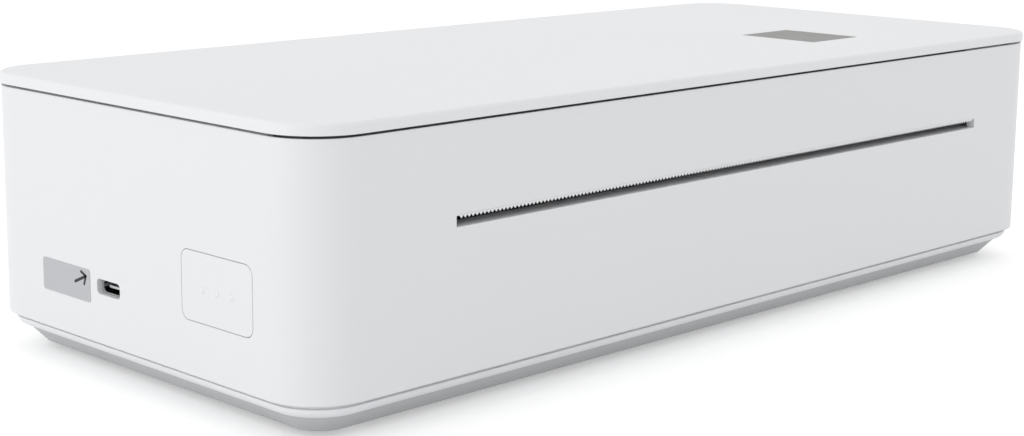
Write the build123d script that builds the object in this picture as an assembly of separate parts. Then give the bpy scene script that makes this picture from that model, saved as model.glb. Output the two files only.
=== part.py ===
from build123d import *
import os
from math import acos, atan2, cos, pi, radians, sin, sqrt, tan

# Portable thermal printer for full-page paper. Millimetres, +Z up, +X along the long side,
# front towards -Y. The origin is under the middle of the printer, on the table.

# ---- casing ----
LENGTH = 300.0  # casing, left to right
WIDTH = 134.0  # casing, front to back
CORNER_R = 14.7  # upright corners
WALL = 2.5  # casing wall
FOOT_PROUD = 1.5  # feet below the base
BASE_H = 4.7  # sloped base, from its bottom to its upper edge
BAND_H = 2.6  # sloped band above the base
SEAM_H = 1.2  # groove between the band and the casing wall
WALL_H = 59.55  # height of the casing wall
LID_GAP = 0.7  # shadow gap under the lid
LID_T = 2.75  # lid slab
LID_OVERHANG = 0.5  # lid beyond the casing wall, all round
LID_EDGE_R = 0.9  # rounding of the lid's upper edge
BASE_INSET = 8.8  # bottom outline inside the casing outline
BASE_BOTTOM_R = 7.2  # corners of the bottom outline
EDGE_INSET = 4.5  # where the base meets the band
SEAM_INSET = 1.7  # upper edge of the band
LIP_OUT = 1.4  # band wall outside the lip of the base
LIP_WALL = 2.0  # lip of the base
RIM_LAND = 0.6  # rim left outside the rebate that runs behind the front wall
RIM_STEP = 1.6  # depth of that rebate
FIT = 0.15  # gap between mouldings that plug together
FLOOR_T = 2.2  # floor of the base

# ---- paper path ----
LEFT_ROOM = 43.5  # left end of the casing to the exit slot
RIGHT_ROOM = 36.2  # right end of the casing to the exit slot
SLOT_PLAY = 4.3  # slot wider than the widest paper
SLOT_H = 2.5
SLOT_UP = 35.4  # bottom of the slot above the foot of the casing wall
TOOTH_PITCH = 1.255  # tear teeth
TOOTH_H = 0.47
TOOTH_T = 0.35
STRIP_H = 0.35  # strip that carries the teeth, flush with the casing wall
BLADE_T = 1.1  # tear bar
BLADE_H = 5.2
BLADE_SKIN = 0.6  # casing wall left in front of the tear bar
BLADE_END = 1.8  # tear bar beyond the slot, at each end
PAPER_T = 0.1
LIP_T = 1.2  # exit lip under the paper
LIP_LEG = 6.0

# ---- platen and gears ----
PLATEN_IN = 15.0  # platen axis behind the front of the casing
PLATEN_R = 7.0
PLATEN_EXTRA = 0.4  # platen rubber beyond the paper, both ends together
SHAFT_R = 3.0
RUN_FIT = 0.05  # shaft in its bearing, on the radius
BUSH_WALL = 2.0
BUSH_FLANGE = 1.2
MODULE = 0.8
PLATEN_TEETH = 24
IDLER_TEETH = 32
PINION_TEETH = 16
GEAR_W = 5.0
GEAR_BACKLASH = 0.26
WEB_OUT_R = 10.0  # thinned web of the idler
WEB_IN_R = 4.0
IDLER_DIR = -20.0  # degrees, from the platen to the idler
PINION_DIR = -10.0  # degrees, from the idler to the motor
POST_R = 2.0
PLATE_T = 1.5  # steel side plates
PLATE_GAP = 0.2  # between a side plate and the bay wall
GEAR_GAP = 0.8  # between a side plate and its gears
PLATE_FRONT = 6.5  # side plate before and above the platen axis
PLATE_RISE = 8.0
PLATE_SLANT = 8.0  # slope at the rear upper corner
PLATE_DROP = 20.0
PLATE_TOE = 5.0
LEFT_PLATE_BACK = 30.0  # side plates behind the platen axis
RIGHT_PLATE_BACK = 58.0
LIGHT_HOLE_R = 7.0
MOTOR_R = 12.5
MOTOR_L = 15.0
MOTOR_SHAFT_R = 1.0
MOTOR_PLUG_W = 10.0  # connector block under the motor
MOTOR_PLUG_IN = 3.0
MOTOR_PLUG_END = 9.0
MOTOR_PLUG_DOWN = 3.0
MOTOR_PLUG_H = 5.0
BRACKET_FOOT = 12.0  # motor bracket
BRACKET_EDGE = 2.0
SPACER_R = 2.0

# ---- roll bay ----
BAY_PLAY = 1.0  # paper roll between the guides, both sides together
GUIDE_T = 2.5  # paper guide cheek
GUIDE_GAP = 0.5  # cheek to bay wall
CHEEK_HOLE_R = 9.0
TROUGH_R = 27.0
TROUGH_BACK = 64.0  # axis of the trough behind the platen axis
TROUGH_Z = 38.0
CREST_BACK = 16.0  # top of the ramp behind the platen axis
CREST_DROP = 3.0  # below the paper
RAMP_END = -165.0  # degrees round the trough, where the ramp leaves it
WALL_FOOT = 12.0  # lower front corner of the bay walls above the floor
TROUGH_GAP = 0.6  # cheek to trough
HEEL_DOWN = 14.0  # rear lower corner of the bay below the axis of the trough
SADDLE = 6.0  # flat under the trough beyond the racks
FOOT_RISE = 8.0  # foot of a cheek above the bottom of the trough
TUB_T = 2.0
DECK_T = 2.0
DECK_DOWN = 7.55  # deck top under the casing rim
GUIDE_TRAVEL = 78.0
RACK_MODULE = 1.0
RACK_TEETH = 26  # pinion of the guides
RACK_T = 2.8
RACK_BACK = 4.0
SLIDE_GAP = 0.2
RAIL_T = 1.5
SENSOR_SIDE = 30.0  # paper sensor right of the middle of the paper
SENSOR_W = 6.0
SENSOR_BACK = 6.0  # paper sensor behind the crest
SENSOR_H = 5.0
SENSOR_DROP = 5.2  # top of the sensor below the crest
SENSOR_END = 1.0  # sensor longer than wide, at each end
SENSOR_PIT = 14.0  # bottom of the sensor's pocket above the floor of the bay
CREST_T = 8.0  # height of the rib under the crest
CREST_EDGE = 3.0  # slope in front of the crest
CREST_FALL = 2.0
TROUGH_FLAT = 4.0  # flat under the trough above its lowest point

# ---- print head ----
HEAD_W = 11.0
CERAMIC_T = 1.0
SINK_T = 4.0
HEAD_TRAVEL = 1.0
BRACKET_T = 1.2
BRACKET_W = 17.0
BRACKET_DROP = 14.0
SPRING_R = 2.5
SPRING_WIRE_R = 0.35
SPRING_TURNS = 5
SPRING_SIDES = 8  # straight runs in a turn
HEAD_SCREW_IN = 7.0  # outer screws inside the ends of the channel

# ---- lid hinge and catches ----
HINGE_IN = 4.5  # hinge line inside the rear face
HINGE_DOWN = 8.0  # hinge line under the lid
KNUCKLE_R = 4.0
KNUCKLE_L = 24.0
KNUCKLE_GAP = 0.4
EAR_L = 8.0
HINGE_SIDE = 55.0  # middle of a hinge inside the end of the casing
PIN_R = 1.5
LINER_T = 2.0
LINER_RIB = 3.25
RIB_T = 1.5
RIB_STEP = 30.0
LINER_GAP = 0.8
MAGNET_R = 4.0
MAGNET_T = 2.0
MAGNET_SIDE = 18.5  # magnets inside the ends of the casing
MAGNET_IN = 15.3  # and behind its front

# ---- lid plate ----
WINDOW_SIDE = 72.6  # middle of the plate inside the right end
WINDOW_FRONT = 40.3  # and behind the front
WINDOW_L = 22.8
WINDOW_W = 26.9
WINDOW_T = 0.8

# ---- left side: socket, label and button ----
PORT_BACK = 76.85  # middle of the socket behind the front
PORT_UP = 14.45  # above the foot of the casing wall
PORT_L = 9.8
PORT_H = 3.8
PORT_R = 1.1
SOCKET_L = 9.0  # metal shell of the socket
SOCKET_H = 3.4
SOCKET_T = 0.2
SOCKET_D = 6.8
TONGUE_L = 4.8
TONGUE_T = 0.6
SOCKET_SUNK = 1.4  # mouth of the socket below the wall's face
LABEL_STEP = 18.5  # middle of the label behind the socket
LABEL_UP = 13.7
LABEL_L = 21.2
LABEL_H = 8.3
LABEL_T = 0.1
LABEL_R = 0.8
BUTTON_BACK = 33.1  # middle of the button behind the front
BUTTON_UP = 21.45
BUTTON_L = 26.8
BUTTON_H = 16.9
BUTTON_R = 2.6
BUTTON_GAP = 0.15
BUTTON_T = 2.2
BUTTON_TRAVEL = 0.8
DOT_PITCH = 5.4
DOT_R = 0.9
DOT_DOWN = 0.4  # dots under the middle of the button
DOT_PROUD = 0.25
BOARD_T = 1.6
BOARD_FRONT = 20.0  # board beyond the middle of the button
BOARD_REAR = 6.0  # and beyond the middle of the label
BOARD_RISE = 12.0  # above the platen axis
RAIL_UP = 4.6  # bottom of the board's slots above the floor
RAIL_L = 8.0
CHIP_W = 14.0
CHIP_T = 1.2
COIL_W = 8.0
COIL_T = 3.0
PLUG_T = 6.0
SWITCH_W = 6.0
SWITCH_DOWN = 4.5  # switch under the middle of the button
SWITCH_H = 3.5
PLUNGER_R = 1.7
PLUNGER_L = 2.0

# ---- battery and fasteners ----
CELL_R = 9.2
CELL_L = 65.0
CELL_BACK = 10.0  # cells behind the platen axis
CRADLE_T = 2.0
SCREW_R = 1.25
SCREW_HEAD_R = 2.3
COUNTERBORE = 1.5  # sunk seat of a case screw
SCREW_L = 11.0
SOCKET_R = 1.1  # hexagonal recess in a screw head
HEAD_T = 1.2
SHANK_SIDES = 8  # flats of a screw
HEAD_SIDES = 16  # of a screw head, a boss and a light pipe
DISC_SIDES = 24  # of a foot, a magnet and a hinge barrel
BOSS_R = 3.2
BOSS_SIDE = 22.0  # bosses inside the ends of the casing
BOSS_IN = 13.0  # and inside its front and rear
BOSS_UP = 20.3
DECK_SCREW_L = 6.5
LEDGE_D = 7.5  # ledges that carry the deck
LEDGE_T = 5.0
LEDGE_L = 28.0
LEDGE_SCREW_IN = 6.0  # screws inside the ends of a ledge
FOOT_R = 6.0
FOOT_SUNK = 0.8
FOOT_SIDE = 30.0  # feet inside the ends of the casing
FOOT_IN = 25.0  # and inside its front and rear

# ---- levels and places that follow ----
BASE_Z = FOOT_PROUD
BAND_Z = BASE_Z + BASE_H
SEAM_Z = BAND_Z + BAND_H
WALL_Z = SEAM_Z + SEAM_H
RIM_Z = WALL_Z + WALL_H
LID_Z = RIM_Z + LID_GAP
FLOOR_Z = BASE_Z + FLOOR_T
IN_X = LENGTH / 2 - WALL
IN_Y = WIDTH / 2 - WALL
LIP_INSET = EDGE_INSET + LIP_OUT
PATH_X = (LEFT_ROOM - RIGHT_ROOM) / 2  # middle of the paper
SLOT_W = LENGTH - LEFT_ROOM - RIGHT_ROOM
PAPER_W = SLOT_W - SLOT_PLAY  # widest roll
PLATEN_Y = -WIDTH / 2 + PLATEN_IN
TROUGH_Y = PLATEN_Y + TROUGH_BACK
CREST_Y = PLATEN_Y + CREST_BACK
SENSOR_X = PATH_X + SENSOR_SIDE
SENSOR_Y = CREST_Y + SENSOR_BACK
TUB_FRONT = -IN_Y + 0.7
LIP_BACK = PLATEN_Y - PLATEN_R - 1.0
SLOT_Z = WALL_Z + SLOT_UP
SLOT_TOP = SLOT_Z + SLOT_H
LIP_Z = SLOT_Z - LIP_T  # underside of the exit lip
PAPER_Z = SLOT_Z + SLOT_H / 2
PLATEN_Z = PAPER_Z - PAPER_T / 2 - PLATEN_R
CREST_Z = PAPER_Z - CREST_DROP
BAY_HALF = (PAPER_W + BAY_PLAY) / 2 + GUIDE_T + GUIDE_GAP
PLATE_IN = BAY_HALF + TUB_T + PLATE_GAP
PLATE_OUT = PLATE_IN + PLATE_T
GEAR_X = PATH_X + PLATE_OUT + GEAR_GAP
IDLER_DIST = MODULE * (PLATEN_TEETH + IDLER_TEETH) / 2
IDLER_Y = PLATEN_Y + IDLER_DIST * cos(radians(IDLER_DIR))
IDLER_Z = PLATEN_Z + IDLER_DIST * sin(radians(IDLER_DIR))
PINION_DIST = MODULE * (IDLER_TEETH + PINION_TEETH) / 2
PINION_Y = IDLER_Y + PINION_DIST * cos(radians(PINION_DIR))
PINION_Z = IDLER_Z + PINION_DIST * sin(radians(PINION_DIR))
BRACKET_X = GEAR_X + GEAR_W + GEAR_GAP
DECK_Z = RIM_Z - DECK_DOWN
TUB_FLOOR = TROUGH_Z - TROUGH_R - TUB_T
RACK_TOP = TUB_FLOOR - SLIDE_GAP
RACK_Z = RACK_TOP - RACK_T
RACK_R = RACK_MODULE * RACK_TEETH / 2
CHEEK_X = (PAPER_W + BAY_PLAY) / 2  # inner face of a cheek, from the middle of the paper
HEAD_Z = PAPER_Z + PAPER_T / 2
SINK_Z = HEAD_Z + CERAMIC_T
SINK_TOP = SINK_Z + SINK_T
HEAD_HALF = (PAPER_W - 1.6) / 2
LINER_Z = LID_Z - LINER_T
RIB_Z = LINER_Z - LINER_RIB
BRACKET_TOP = RIB_Z
BRACKET_HALF = HEAD_HALF + 1.6
HINGE_X = LENGTH / 2 - HINGE_SIDE
HINGE_Y = WIDTH / 2 - HINGE_IN
HINGE_Z = LID_Z - HINGE_DOWN
EAR_NEAR = KNUCKLE_L / 2 + KNUCKLE_GAP
LINER_BACK = HINGE_Y - HINGE_DOWN - 0.5
WINDOW_X = LENGTH / 2 - WINDOW_SIDE
WINDOW_Y = -WIDTH / 2 + WINDOW_FRONT
PORT_X = -LENGTH / 2 + SOCKET_SUNK
BOARD_X = PORT_X + SOCKET_D
PORT_Y = -WIDTH / 2 + PORT_BACK
PORT_Z = WALL_Z + PORT_UP
LABEL_Y = PORT_Y + LABEL_STEP
LABEL_Z = WALL_Z + LABEL_UP
BUTTON_Y = -WIDTH / 2 + BUTTON_BACK
BUTTON_Z = WALL_Z + BUTTON_UP
SWITCH_Z = BUTTON_Z - SWITCH_DOWN
DOT_Z = BUTTON_Z - DOT_DOWN
STEM_END = BOARD_X - SWITCH_H - 0.9
CELL_Y = PLATEN_Y + CELL_BACK
CELL_Z = FLOOR_Z + 1.5 + CELL_R
BOSS_X = LENGTH / 2 - BOSS_SIDE
BOSS_Y = WIDTH / 2 - BOSS_IN
BOSS_TOP = FLOOR_Z + BOSS_UP
FOOT_X = LENGTH / 2 - FOOT_SIDE
FOOT_Y = WIDTH / 2 - FOOT_IN


# ---- helpers ----
def block(x0, x1, y0, y1, z0, z1):
    """A box between two corners."""
    middle = Pos((x0 + x1) / 2, (y0 + y1) / 2, (z0 + z1) / 2)
    return middle * Box(x1 - x0, y1 - y0, z1 - z0)


def round_slab(length, width, radius, z0, z1, x=0.0, y=0.0):
    """An upright prism with rounded corners."""
    outline = Pos(x, y, z0) * RectangleRounded(length, width, radius)
    return extrude(outline, z1 - z0)


def casing_slab(inset, z0, z1):
    """A prism of the casing outline, moved in by inset."""
    return round_slab(LENGTH - 2 * inset, WIDTH - 2 * inset, CORNER_R - inset, z0, z1)


def casing_loft(inset0, radius0, z0, inset1, radius1, z1):
    """A sloped slab between two insets of the casing outline."""
    low = Pos(0, 0, z0) * RectangleRounded(LENGTH - 2 * inset0, WIDTH - 2 * inset0, radius0)
    high = Pos(0, 0, z1) * RectangleRounded(LENGTH - 2 * inset1, WIDTH - 2 * inset1, radius1)
    return loft([low, high])


def rod_x(x0, x1, y, z, radius):
    """A round bar along X."""
    return Pos((x0 + x1) / 2, y, z) * Rot(0, 90, 0) * Cylinder(radius, x1 - x0)


def rod_z(x, y, z0, z1, radius):
    """An upright round bar."""
    return Pos(x, y, (z0 + z1) / 2) * Cylinder(radius, z1 - z0)


def flat_rod(x, y, z0, z1, radius, sides):
    """An upright bar with flat sides; radius is to its corners."""
    return extrude(Pos(x, y, z0) * RegularPolygon(radius, sides), z1 - z0)


def flat_bar(x0, x1, y, z, radius, sides):
    """A bar along X with flat sides; radius is to its corners."""
    return extrude(Plane.YZ.offset(x0) * Pos(y, z) * RegularPolygon(radius, sides), x1 - x0, dir=(1, 0, 0))


def screw_hole(x, y, z0, z1, play=0.0):
    """Upright hole for a screw."""
    return flat_rod(x, y, z0, z1, SCREW_R + play, SHANK_SIDES)


def side_plate(points, x0, x1):
    """A plate across X, from its outline in Y and Z."""
    outline = make_face(Polyline(*[(x0, y, z) for y, z in points], close=True))
    return extrude(outline, x1 - x0, dir=(1, 0, 0))


def between(near, far, y0, y1, z0, z1):
    """A box whose two ends along X may come in either order."""
    return block(min(near, far), max(near, far), y0, y1, z0, z1)


def left_tile(y, z, length, height, radius, x0, x1):
    """A rounded rectangle on the left wall, through x0 to x1."""
    outline = Plane.YZ.offset(x0) * Pos(y, z) * RectangleRounded(length, height, radius)
    return extrude(outline, x1 - x0, dir=(1, 0, 0))


def involute(base_r, radius):
    """Angle that an involute flank has turned at a radius."""
    roll = sqrt(max((radius / base_r) ** 2 - 1, 0))
    return roll - atan2(roll, 1)


def gear_outline(module, teeth, turn):
    """Points of a spur gear with stub teeth; one tooth points along the angle turn."""
    pitch_r = module * teeth / 2
    base_r = pitch_r * cos(radians(20))
    tip_r = pitch_r + 0.8 * module
    root_r = pitch_r - 1.05 * module
    half = pi / teeth / 2 - GEAR_BACKLASH / 4 / pitch_r + involute(base_r, pitch_r)
    radii = [max(root_r, base_r), tip_r]
    flank = [(r, half - involute(base_r, r)) for r in radii]
    if root_r < base_r - GEAR_BACKLASH / 2:
        flank.insert(0, (root_r, flank[0][1]))
    points = []
    for tooth in range(teeth):
        middle = turn + 2 * pi * tooth / teeth
        points += [(r, middle - a) for r, a in flank]
        points += [(r, middle + a) for r, a in reversed(flank)]
    return [(r * cos(a), r * sin(a)) for r, a in points]


def gear_x(teeth, turn, y, z, x0, width):
    """A spur gear on an axis along X."""
    outline = [(y + a, z + b) for a, b in gear_outline(MODULE, teeth, turn)]
    return side_plate(outline, x0, x0 + width)


# Phases that leave the three gears in mesh at rest.
PLATEN_TURN = radians(IDLER_DIR)
IDLER_TURN = PLATEN_TURN + pi + pi / IDLER_TEETH
OFFSET = (IDLER_TURN - radians(PINION_DIR)) % (2 * pi / IDLER_TEETH)
PINION_TURN = radians(PINION_DIR) + pi - OFFSET * IDLER_TEETH / PINION_TEETH + pi / PINION_TEETH


# ---- casing ----
def corners(x, y):
    """Four places, mirrored about the middle of the casing."""
    return [(side * x, end * y) for side in (-1, 1) for end in (-1, 1)]


def base_tray():
    """Sloped base with its floor, upright lip, rails and posts."""
    tray = casing_loft(BASE_INSET, BASE_BOTTOM_R, BASE_Z, EDGE_INSET, CORNER_R - EDGE_INSET, BAND_Z)
    tray = tray + casing_slab(LIP_INSET + FIT, BAND_Z, SEAM_Z + 2)
    inside = casing_slab(LIP_INSET + FIT + LIP_WALL, FLOOR_Z, WALL_Z + 3)
    tray = tray - inside
    for x, y in corners(FOOT_X, FOOT_Y):
        tray = tray - flat_rod(x, y, BASE_Z - 1, BASE_Z + FOOT_SUNK, FOOT_R + FIT, DISC_SIDES)
    for x, y in corners(BOSS_X, BOSS_Y):
        tray = tray - flat_rod(x, y, BASE_Z - 1, BASE_Z + COUNTERBORE, SCREW_HEAD_R + FIT, HEAD_SIDES)
        tray = tray - screw_hole(x, y, BASE_Z, FLOOR_Z + 1, FIT)
    return tray + guide_rails() + (board_rails() & inside)


def guide_rails():
    """Rails for the racks of the paper guides, and the post of their pinion."""
    rails = rod_z(PATH_X, TROUGH_Y, FLOOR_Z, RACK_Z - SLIDE_GAP, POST_R + 4)
    rails = rails + rod_z(PATH_X, TROUGH_Y, FLOOR_Z, TUB_FLOOR, POST_R)
    for side in (-1, 1):
        near = TROUGH_Y + side * (RACK_R + RACK_MODULE)
        far = TROUGH_Y + side * (RACK_R + RACK_BACK + SLIDE_GAP)
        edge = far + side * RAIL_T
        low, high = min(near, edge), max(near, edge)
        rails = rails + block(PATH_X - CHEEK_X, PATH_X + CHEEK_X, low, high, FLOOR_Z, RACK_Z - SLIDE_GAP)
        low, high = min(far, edge), max(far, edge)
        rails = rails + block(PATH_X - CHEEK_X, PATH_X + CHEEK_X, low, high, FLOOR_Z, RACK_TOP)
    return rails


def board_rails():
    """Two slotted rails that the circuit board stands in."""
    rails = []
    for y in (BUTTON_Y - 1.5 * RAIL_L, LABEL_Y - RAIL_L / 2):
        rail = block(BOARD_X - COIL_T, BOARD_X + BOARD_T + COIL_T, y - RAIL_L / 2, y + RAIL_L / 2,
                     FLOOR_Z, WALL_Z + 2)
        slot = block(BOARD_X - FIT, BOARD_X + BOARD_T + FIT, y - RAIL_L, y + RAIL_L,
                     FLOOR_Z + RAIL_UP, WALL_Z + 3)
        rails.append(rail - slot)
    return rails[0] + rails[1]


def band_sections():
    """Insets and levels of the band's rounded side, from its lower edge up."""
    turns = [radians(80 - 20 * n) for n in range(5)]
    out = [(1 - cos(a)) / (1 - cos(turns[0])) for a in turns]
    drop = [sin(a) / sin(turns[0]) for a in turns]
    return [(SEAM_INSET + (EDGE_INSET - SEAM_INSET) * u, SEAM_Z - BAND_H * v) for u, v in zip(out, drop)]


def skirt_band():
    """Rounded band between the base and the casing wall, with a tongue inside the wall."""
    sections = band_sections()
    band = casing_slab(WALL + FIT, SEAM_Z - 0.5, WALL_Z + 3)
    for (inset0, z0), (inset1, z1) in zip(sections, sections[1:]):
        band = band + casing_loft(inset0, CORNER_R - inset0, z0, inset1, CORNER_R - inset1, z1)
    band = band - casing_slab(LIP_INSET, BAND_Z - 1, SEAM_Z + 0.5)
    return band - casing_slab(WALL + FIT + LIP_WALL, SEAM_Z, WALL_Z + 4)


def barrel_points(flats):
    """Points round a hinge barrel, from its front and under it, over a number of flats."""
    turns = [pi + 2 * pi * n / DISC_SIDES for n in range(flats + 1)]
    return [(HINGE_Y + KNUCKLE_R * cos(a), HINGE_Z + KNUCKLE_R * sin(a)) for a in turns]


def hinge_profile(top):
    """Outline of a knuckle: a barrel that grows into a web under the lid."""
    return barrel_points(DISC_SIDES // 2) + [(HINGE_Y + KNUCKLE_R, top), (HINGE_Y - KNUCKLE_R, top)]


def hinge_ears(x):
    """Two barrels on the rear wall, either side of a knuckle."""
    ears = []
    for side in (-1, 1):
        near, far = x + side * EAR_NEAR, x + side * (EAR_NEAR + EAR_L)
        ear = side_plate(barrel_points(DISC_SIDES - 1), min(near, far), max(near, far))
        foot = between(near, far, HINGE_Y, WIDTH / 2 - 0.5, HINGE_Z - KNUCKLE_R, HINGE_Z + KNUCKLE_R)
        ears.append(ear + foot)
    return ears[0] + ears[1]


def casing_boss(x, y):
    """Screw boss with a web to the nearest wall."""
    wall = IN_Y + 0.5 if y > 0 else -IN_Y - 0.5
    web = block(x - 0.9, x + 0.9, min(y, wall), max(y, wall), WALL_Z + 4, BOSS_TOP)
    return flat_rod(x, y, FLOOR_Z, BOSS_TOP, BOSS_R, HEAD_SIDES) + web


def body_shell():
    """Casing wall with the exit slot, socket hole, button hole, hinge ears and screw bosses."""
    outer, inner = -LENGTH / 2 - 1, -IN_X + 1
    shell = casing_slab(0, WALL_Z, RIM_Z)
    shell = shell - casing_slab(WALL, WALL_Z - 1, RIM_Z + 1)
    rebate = casing_slab(RIM_LAND, RIM_Z - RIM_STEP, RIM_Z + 1)
    front = block(-LENGTH / 2, PATH_X + HEAD_HALF, -WIDTH / 2, -WIDTH / 2 + CORNER_R, WALL_Z, RIM_Z + 1)
    shell = shell - (rebate & front)
    relief = [(WIDTH / 2 - WALL, RIM_Z), (WIDTH / 2 + 1, RIM_Z - 1.6), (WIDTH / 2 + 1, RIM_Z + 1)]
    shell = shell - side_plate(relief, -LENGTH / 2, LENGTH / 2)
    x0, x1 = PATH_X - SLOT_W / 2, PATH_X + SLOT_W / 2
    end = BLADE_END + 0.2
    shell = shell - block(x0, x1, -WIDTH / 2 - 1, -IN_Y + 1, SLOT_Z, SLOT_TOP + STRIP_H)
    shell = shell - block(x0 - end, x1 + end, -WIDTH / 2 + BLADE_SKIN, -IN_Y + 1,
                          SLOT_TOP, SLOT_TOP + BLADE_H)
    for x in (-HINGE_X, HINGE_X):
        reach = EAR_NEAR + EAR_L + 0.5
        shell = shell - block(x - EAR_NEAR, x + EAR_NEAR, HINGE_Y, WIDTH / 2 + 1,
                              HINGE_Z - KNUCKLE_R - 1.2, RIM_Z + 1)
        shell = shell + hinge_ears(x)
        shell = shell - rod_x(x - reach, x + reach, HINGE_Y, HINGE_Z, PIN_R + RUN_FIT)
    shell = shell - left_tile(PORT_Y, PORT_Z, PORT_L, PORT_H, PORT_R, outer, inner)
    shell = shell - left_tile(BUTTON_Y, BUTTON_Z, BUTTON_L, BUTTON_H, BUTTON_R, outer, inner)
    for x, y in corners(BOSS_X, BOSS_Y):
        shell = shell + casing_boss(x, y) - screw_hole(x, y, FLOOR_Z - 1, FLOOR_Z + SCREW_L)
    ledge_top = DECK_Z - DECK_T
    for side in (-1, 1):
        ledge = between(side * (IN_X + 0.5), side * (IN_X - LEDGE_D), -LEDGE_L / 2, LEDGE_L / 2,
                        ledge_top - LEDGE_T, ledge_top)
        shell = shell + ledge
    for x, y in deck_screw_places():
        shell = shell - screw_hole(x, y, ledge_top - LEDGE_T - 1, ledge_top + 1)
    return shell


def deck_screw_places():
    """Two screws on each ledge."""
    return corners(IN_X - LEDGE_D / 2 - 0.5, LEDGE_L / 2 - LEDGE_SCREW_IN)


def tear_bar():
    """Bar behind the front wall, with a strip that comes forward under the wall's skin and thin teeth."""
    teeth = int(SLOT_W / TOOTH_PITCH) - 1
    start = PATH_X - teeth * TOOTH_PITCH / 2
    points = [(start, SLOT_TOP + STRIP_H / 2), (start, SLOT_TOP)]
    for tooth in range(teeth):
        points.append((start + (tooth + 0.5) * TOOTH_PITCH, SLOT_TOP - TOOTH_H))
        points.append((start + (tooth + 1) * TOOTH_PITCH, SLOT_TOP))
    points.append((start + teeth * TOOTH_PITCH, SLOT_TOP + STRIP_H / 2))
    face = -WIDTH / 2 + RUN_FIT
    outline = make_face(Polyline(*[(x, face, z) for x, z in points], close=True))
    comb = extrude(outline, TOOTH_T, dir=(0, 1, 0))
    front, rear = -WIDTH / 2 + BLADE_SKIN + RUN_FIT, -WIDTH / 2 + BLADE_SKIN + BLADE_T
    half = SLOT_W / 2 - RUN_FIT
    strip = block(PATH_X - half, PATH_X + half, face, rear, SLOT_TOP, SLOT_TOP + STRIP_H - RUN_FIT)
    half = SLOT_W / 2 + BLADE_END
    bar = block(PATH_X - half, PATH_X + half, front, rear, SLOT_TOP + FIT, SLOT_TOP + BLADE_H - FIT)
    return bar + strip + comb


# ---- lid ----
def lid_panel():
    """Flat lid slab with a soft upper edge, a recess for the plate and two hinge knuckles."""
    grow = -LID_OVERHANG
    panel = casing_slab(grow, LID_Z, LID_Z + LID_T)
    panel = fillet(panel.edges().group_by(Axis.Z)[-1], LID_EDGE_R)
    panel = panel - block(WINDOW_X - WINDOW_L / 2, WINDOW_X + WINDOW_L / 2, WINDOW_Y - WINDOW_W / 2,
                          WINDOW_Y + WINDOW_W / 2, LID_Z + LID_T - WINDOW_T, LID_Z + LID_T + 1)
    for x in (-HINGE_X, HINGE_X):
        panel = panel + side_plate(hinge_profile(LID_Z + 0.5), x - KNUCKLE_L / 2, x + KNUCKLE_L / 2)
        panel = panel - rod_x(x - KNUCKLE_L / 2 - 1, x + KNUCKLE_L / 2 + 1, HINGE_Y, HINGE_Z, PIN_R + RUN_FIT)
    return panel


def lid_window():
    """Plain plate let in flush with the top of the lid."""
    return block(WINDOW_X - WINDOW_L / 2 + 0.1, WINDOW_X + WINDOW_L / 2 - 0.1,
                 WINDOW_Y - WINDOW_W / 2 + 0.1, WINDOW_Y + WINDOW_W / 2 - 0.1,
                 LID_Z + LID_T - WINDOW_T, LID_Z + LID_T)


def magnet_places():
    """Two catches near the front corners."""
    return [(side * (LENGTH / 2 - MAGNET_SIDE), -WIDTH / 2 + MAGNET_IN) for side in (-1, 1)]


def lid_liner():
    """Ribbed inner frame under the lid, with cups for the magnets."""
    x1 = IN_X - LINER_GAP
    y0, y1 = -IN_Y + LINER_GAP, LINER_BACK
    radius = CORNER_R - WALL - LINER_GAP
    middle = (y0 + y1) / 2
    liner = round_slab(2 * x1, y1 - y0, radius, RIB_Z, LID_Z, 0, middle)
    liner = liner - round_slab(2 * x1 - 4, y1 - y0 - 4, radius - 2, RIB_Z - 1, LINER_Z, 0, middle)
    half = RIB_T / 2
    for n in range(-4, 5):
        x = n * RIB_STEP
        liner = liner + block(x - half, x + half, y0 + 1, y1 - 1, RIB_Z, LINER_Z)
    for n in (-1, 0, 1):
        y = middle + n * RIB_STEP
        liner = liner + block(-x1 + 1, x1 - 1, y - half, y + half, RIB_Z, LINER_Z)
    for x in head_screw_places():
        liner = liner + flat_rod(x, PLATEN_Y, RIB_Z, LINER_Z, SCREW_HEAD_R, HEAD_SIDES)
        liner = liner - screw_hole(x, PLATEN_Y, RIB_Z - 1, LINER_Z)
    for x, y in magnet_places():
        liner = liner + flat_rod(x, y, RIB_Z, LINER_Z, MAGNET_R + LINER_T, DISC_SIDES)
        liner = liner - flat_rod(x, y, RIB_Z - 1, RIB_Z + MAGNET_T, MAGNET_R + FIT, DISC_SIDES)
    return liner


def lid_magnets():
    """Round magnets sunk in the liner."""
    return Compound([flat_rod(x, y, RIB_Z, RIB_Z + MAGNET_T, MAGNET_R, DISC_SIDES).solid()
                     for x, y in magnet_places()])


def strike_plates():
    """Steel discs on the deck that the magnets hold."""
    return Compound([flat_rod(x, y, DECK_Z, RIB_Z - 0.4, MAGNET_R, DISC_SIDES).solid()
                     for x, y in magnet_places()])


def hinge_pins():
    """Two steel pins through the knuckles."""
    reach = EAR_NEAR + EAR_L - KNUCKLE_GAP
    return Compound([rod_x(x - reach, x + reach, HINGE_Y, HINGE_Z, PIN_R).solid()
                     for x in (-HINGE_X, HINGE_X)])


# ---- roll bay ----
def trough_points(radius, start, end, steps):
    """Points along the round of the trough, between two angles."""
    turns = [radians(start + (end - start) * n / steps) for n in range(steps + 1)]
    return [(TROUGH_Y + radius * cos(a), TROUGH_Z + radius * sin(a)) for a in turns]


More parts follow.
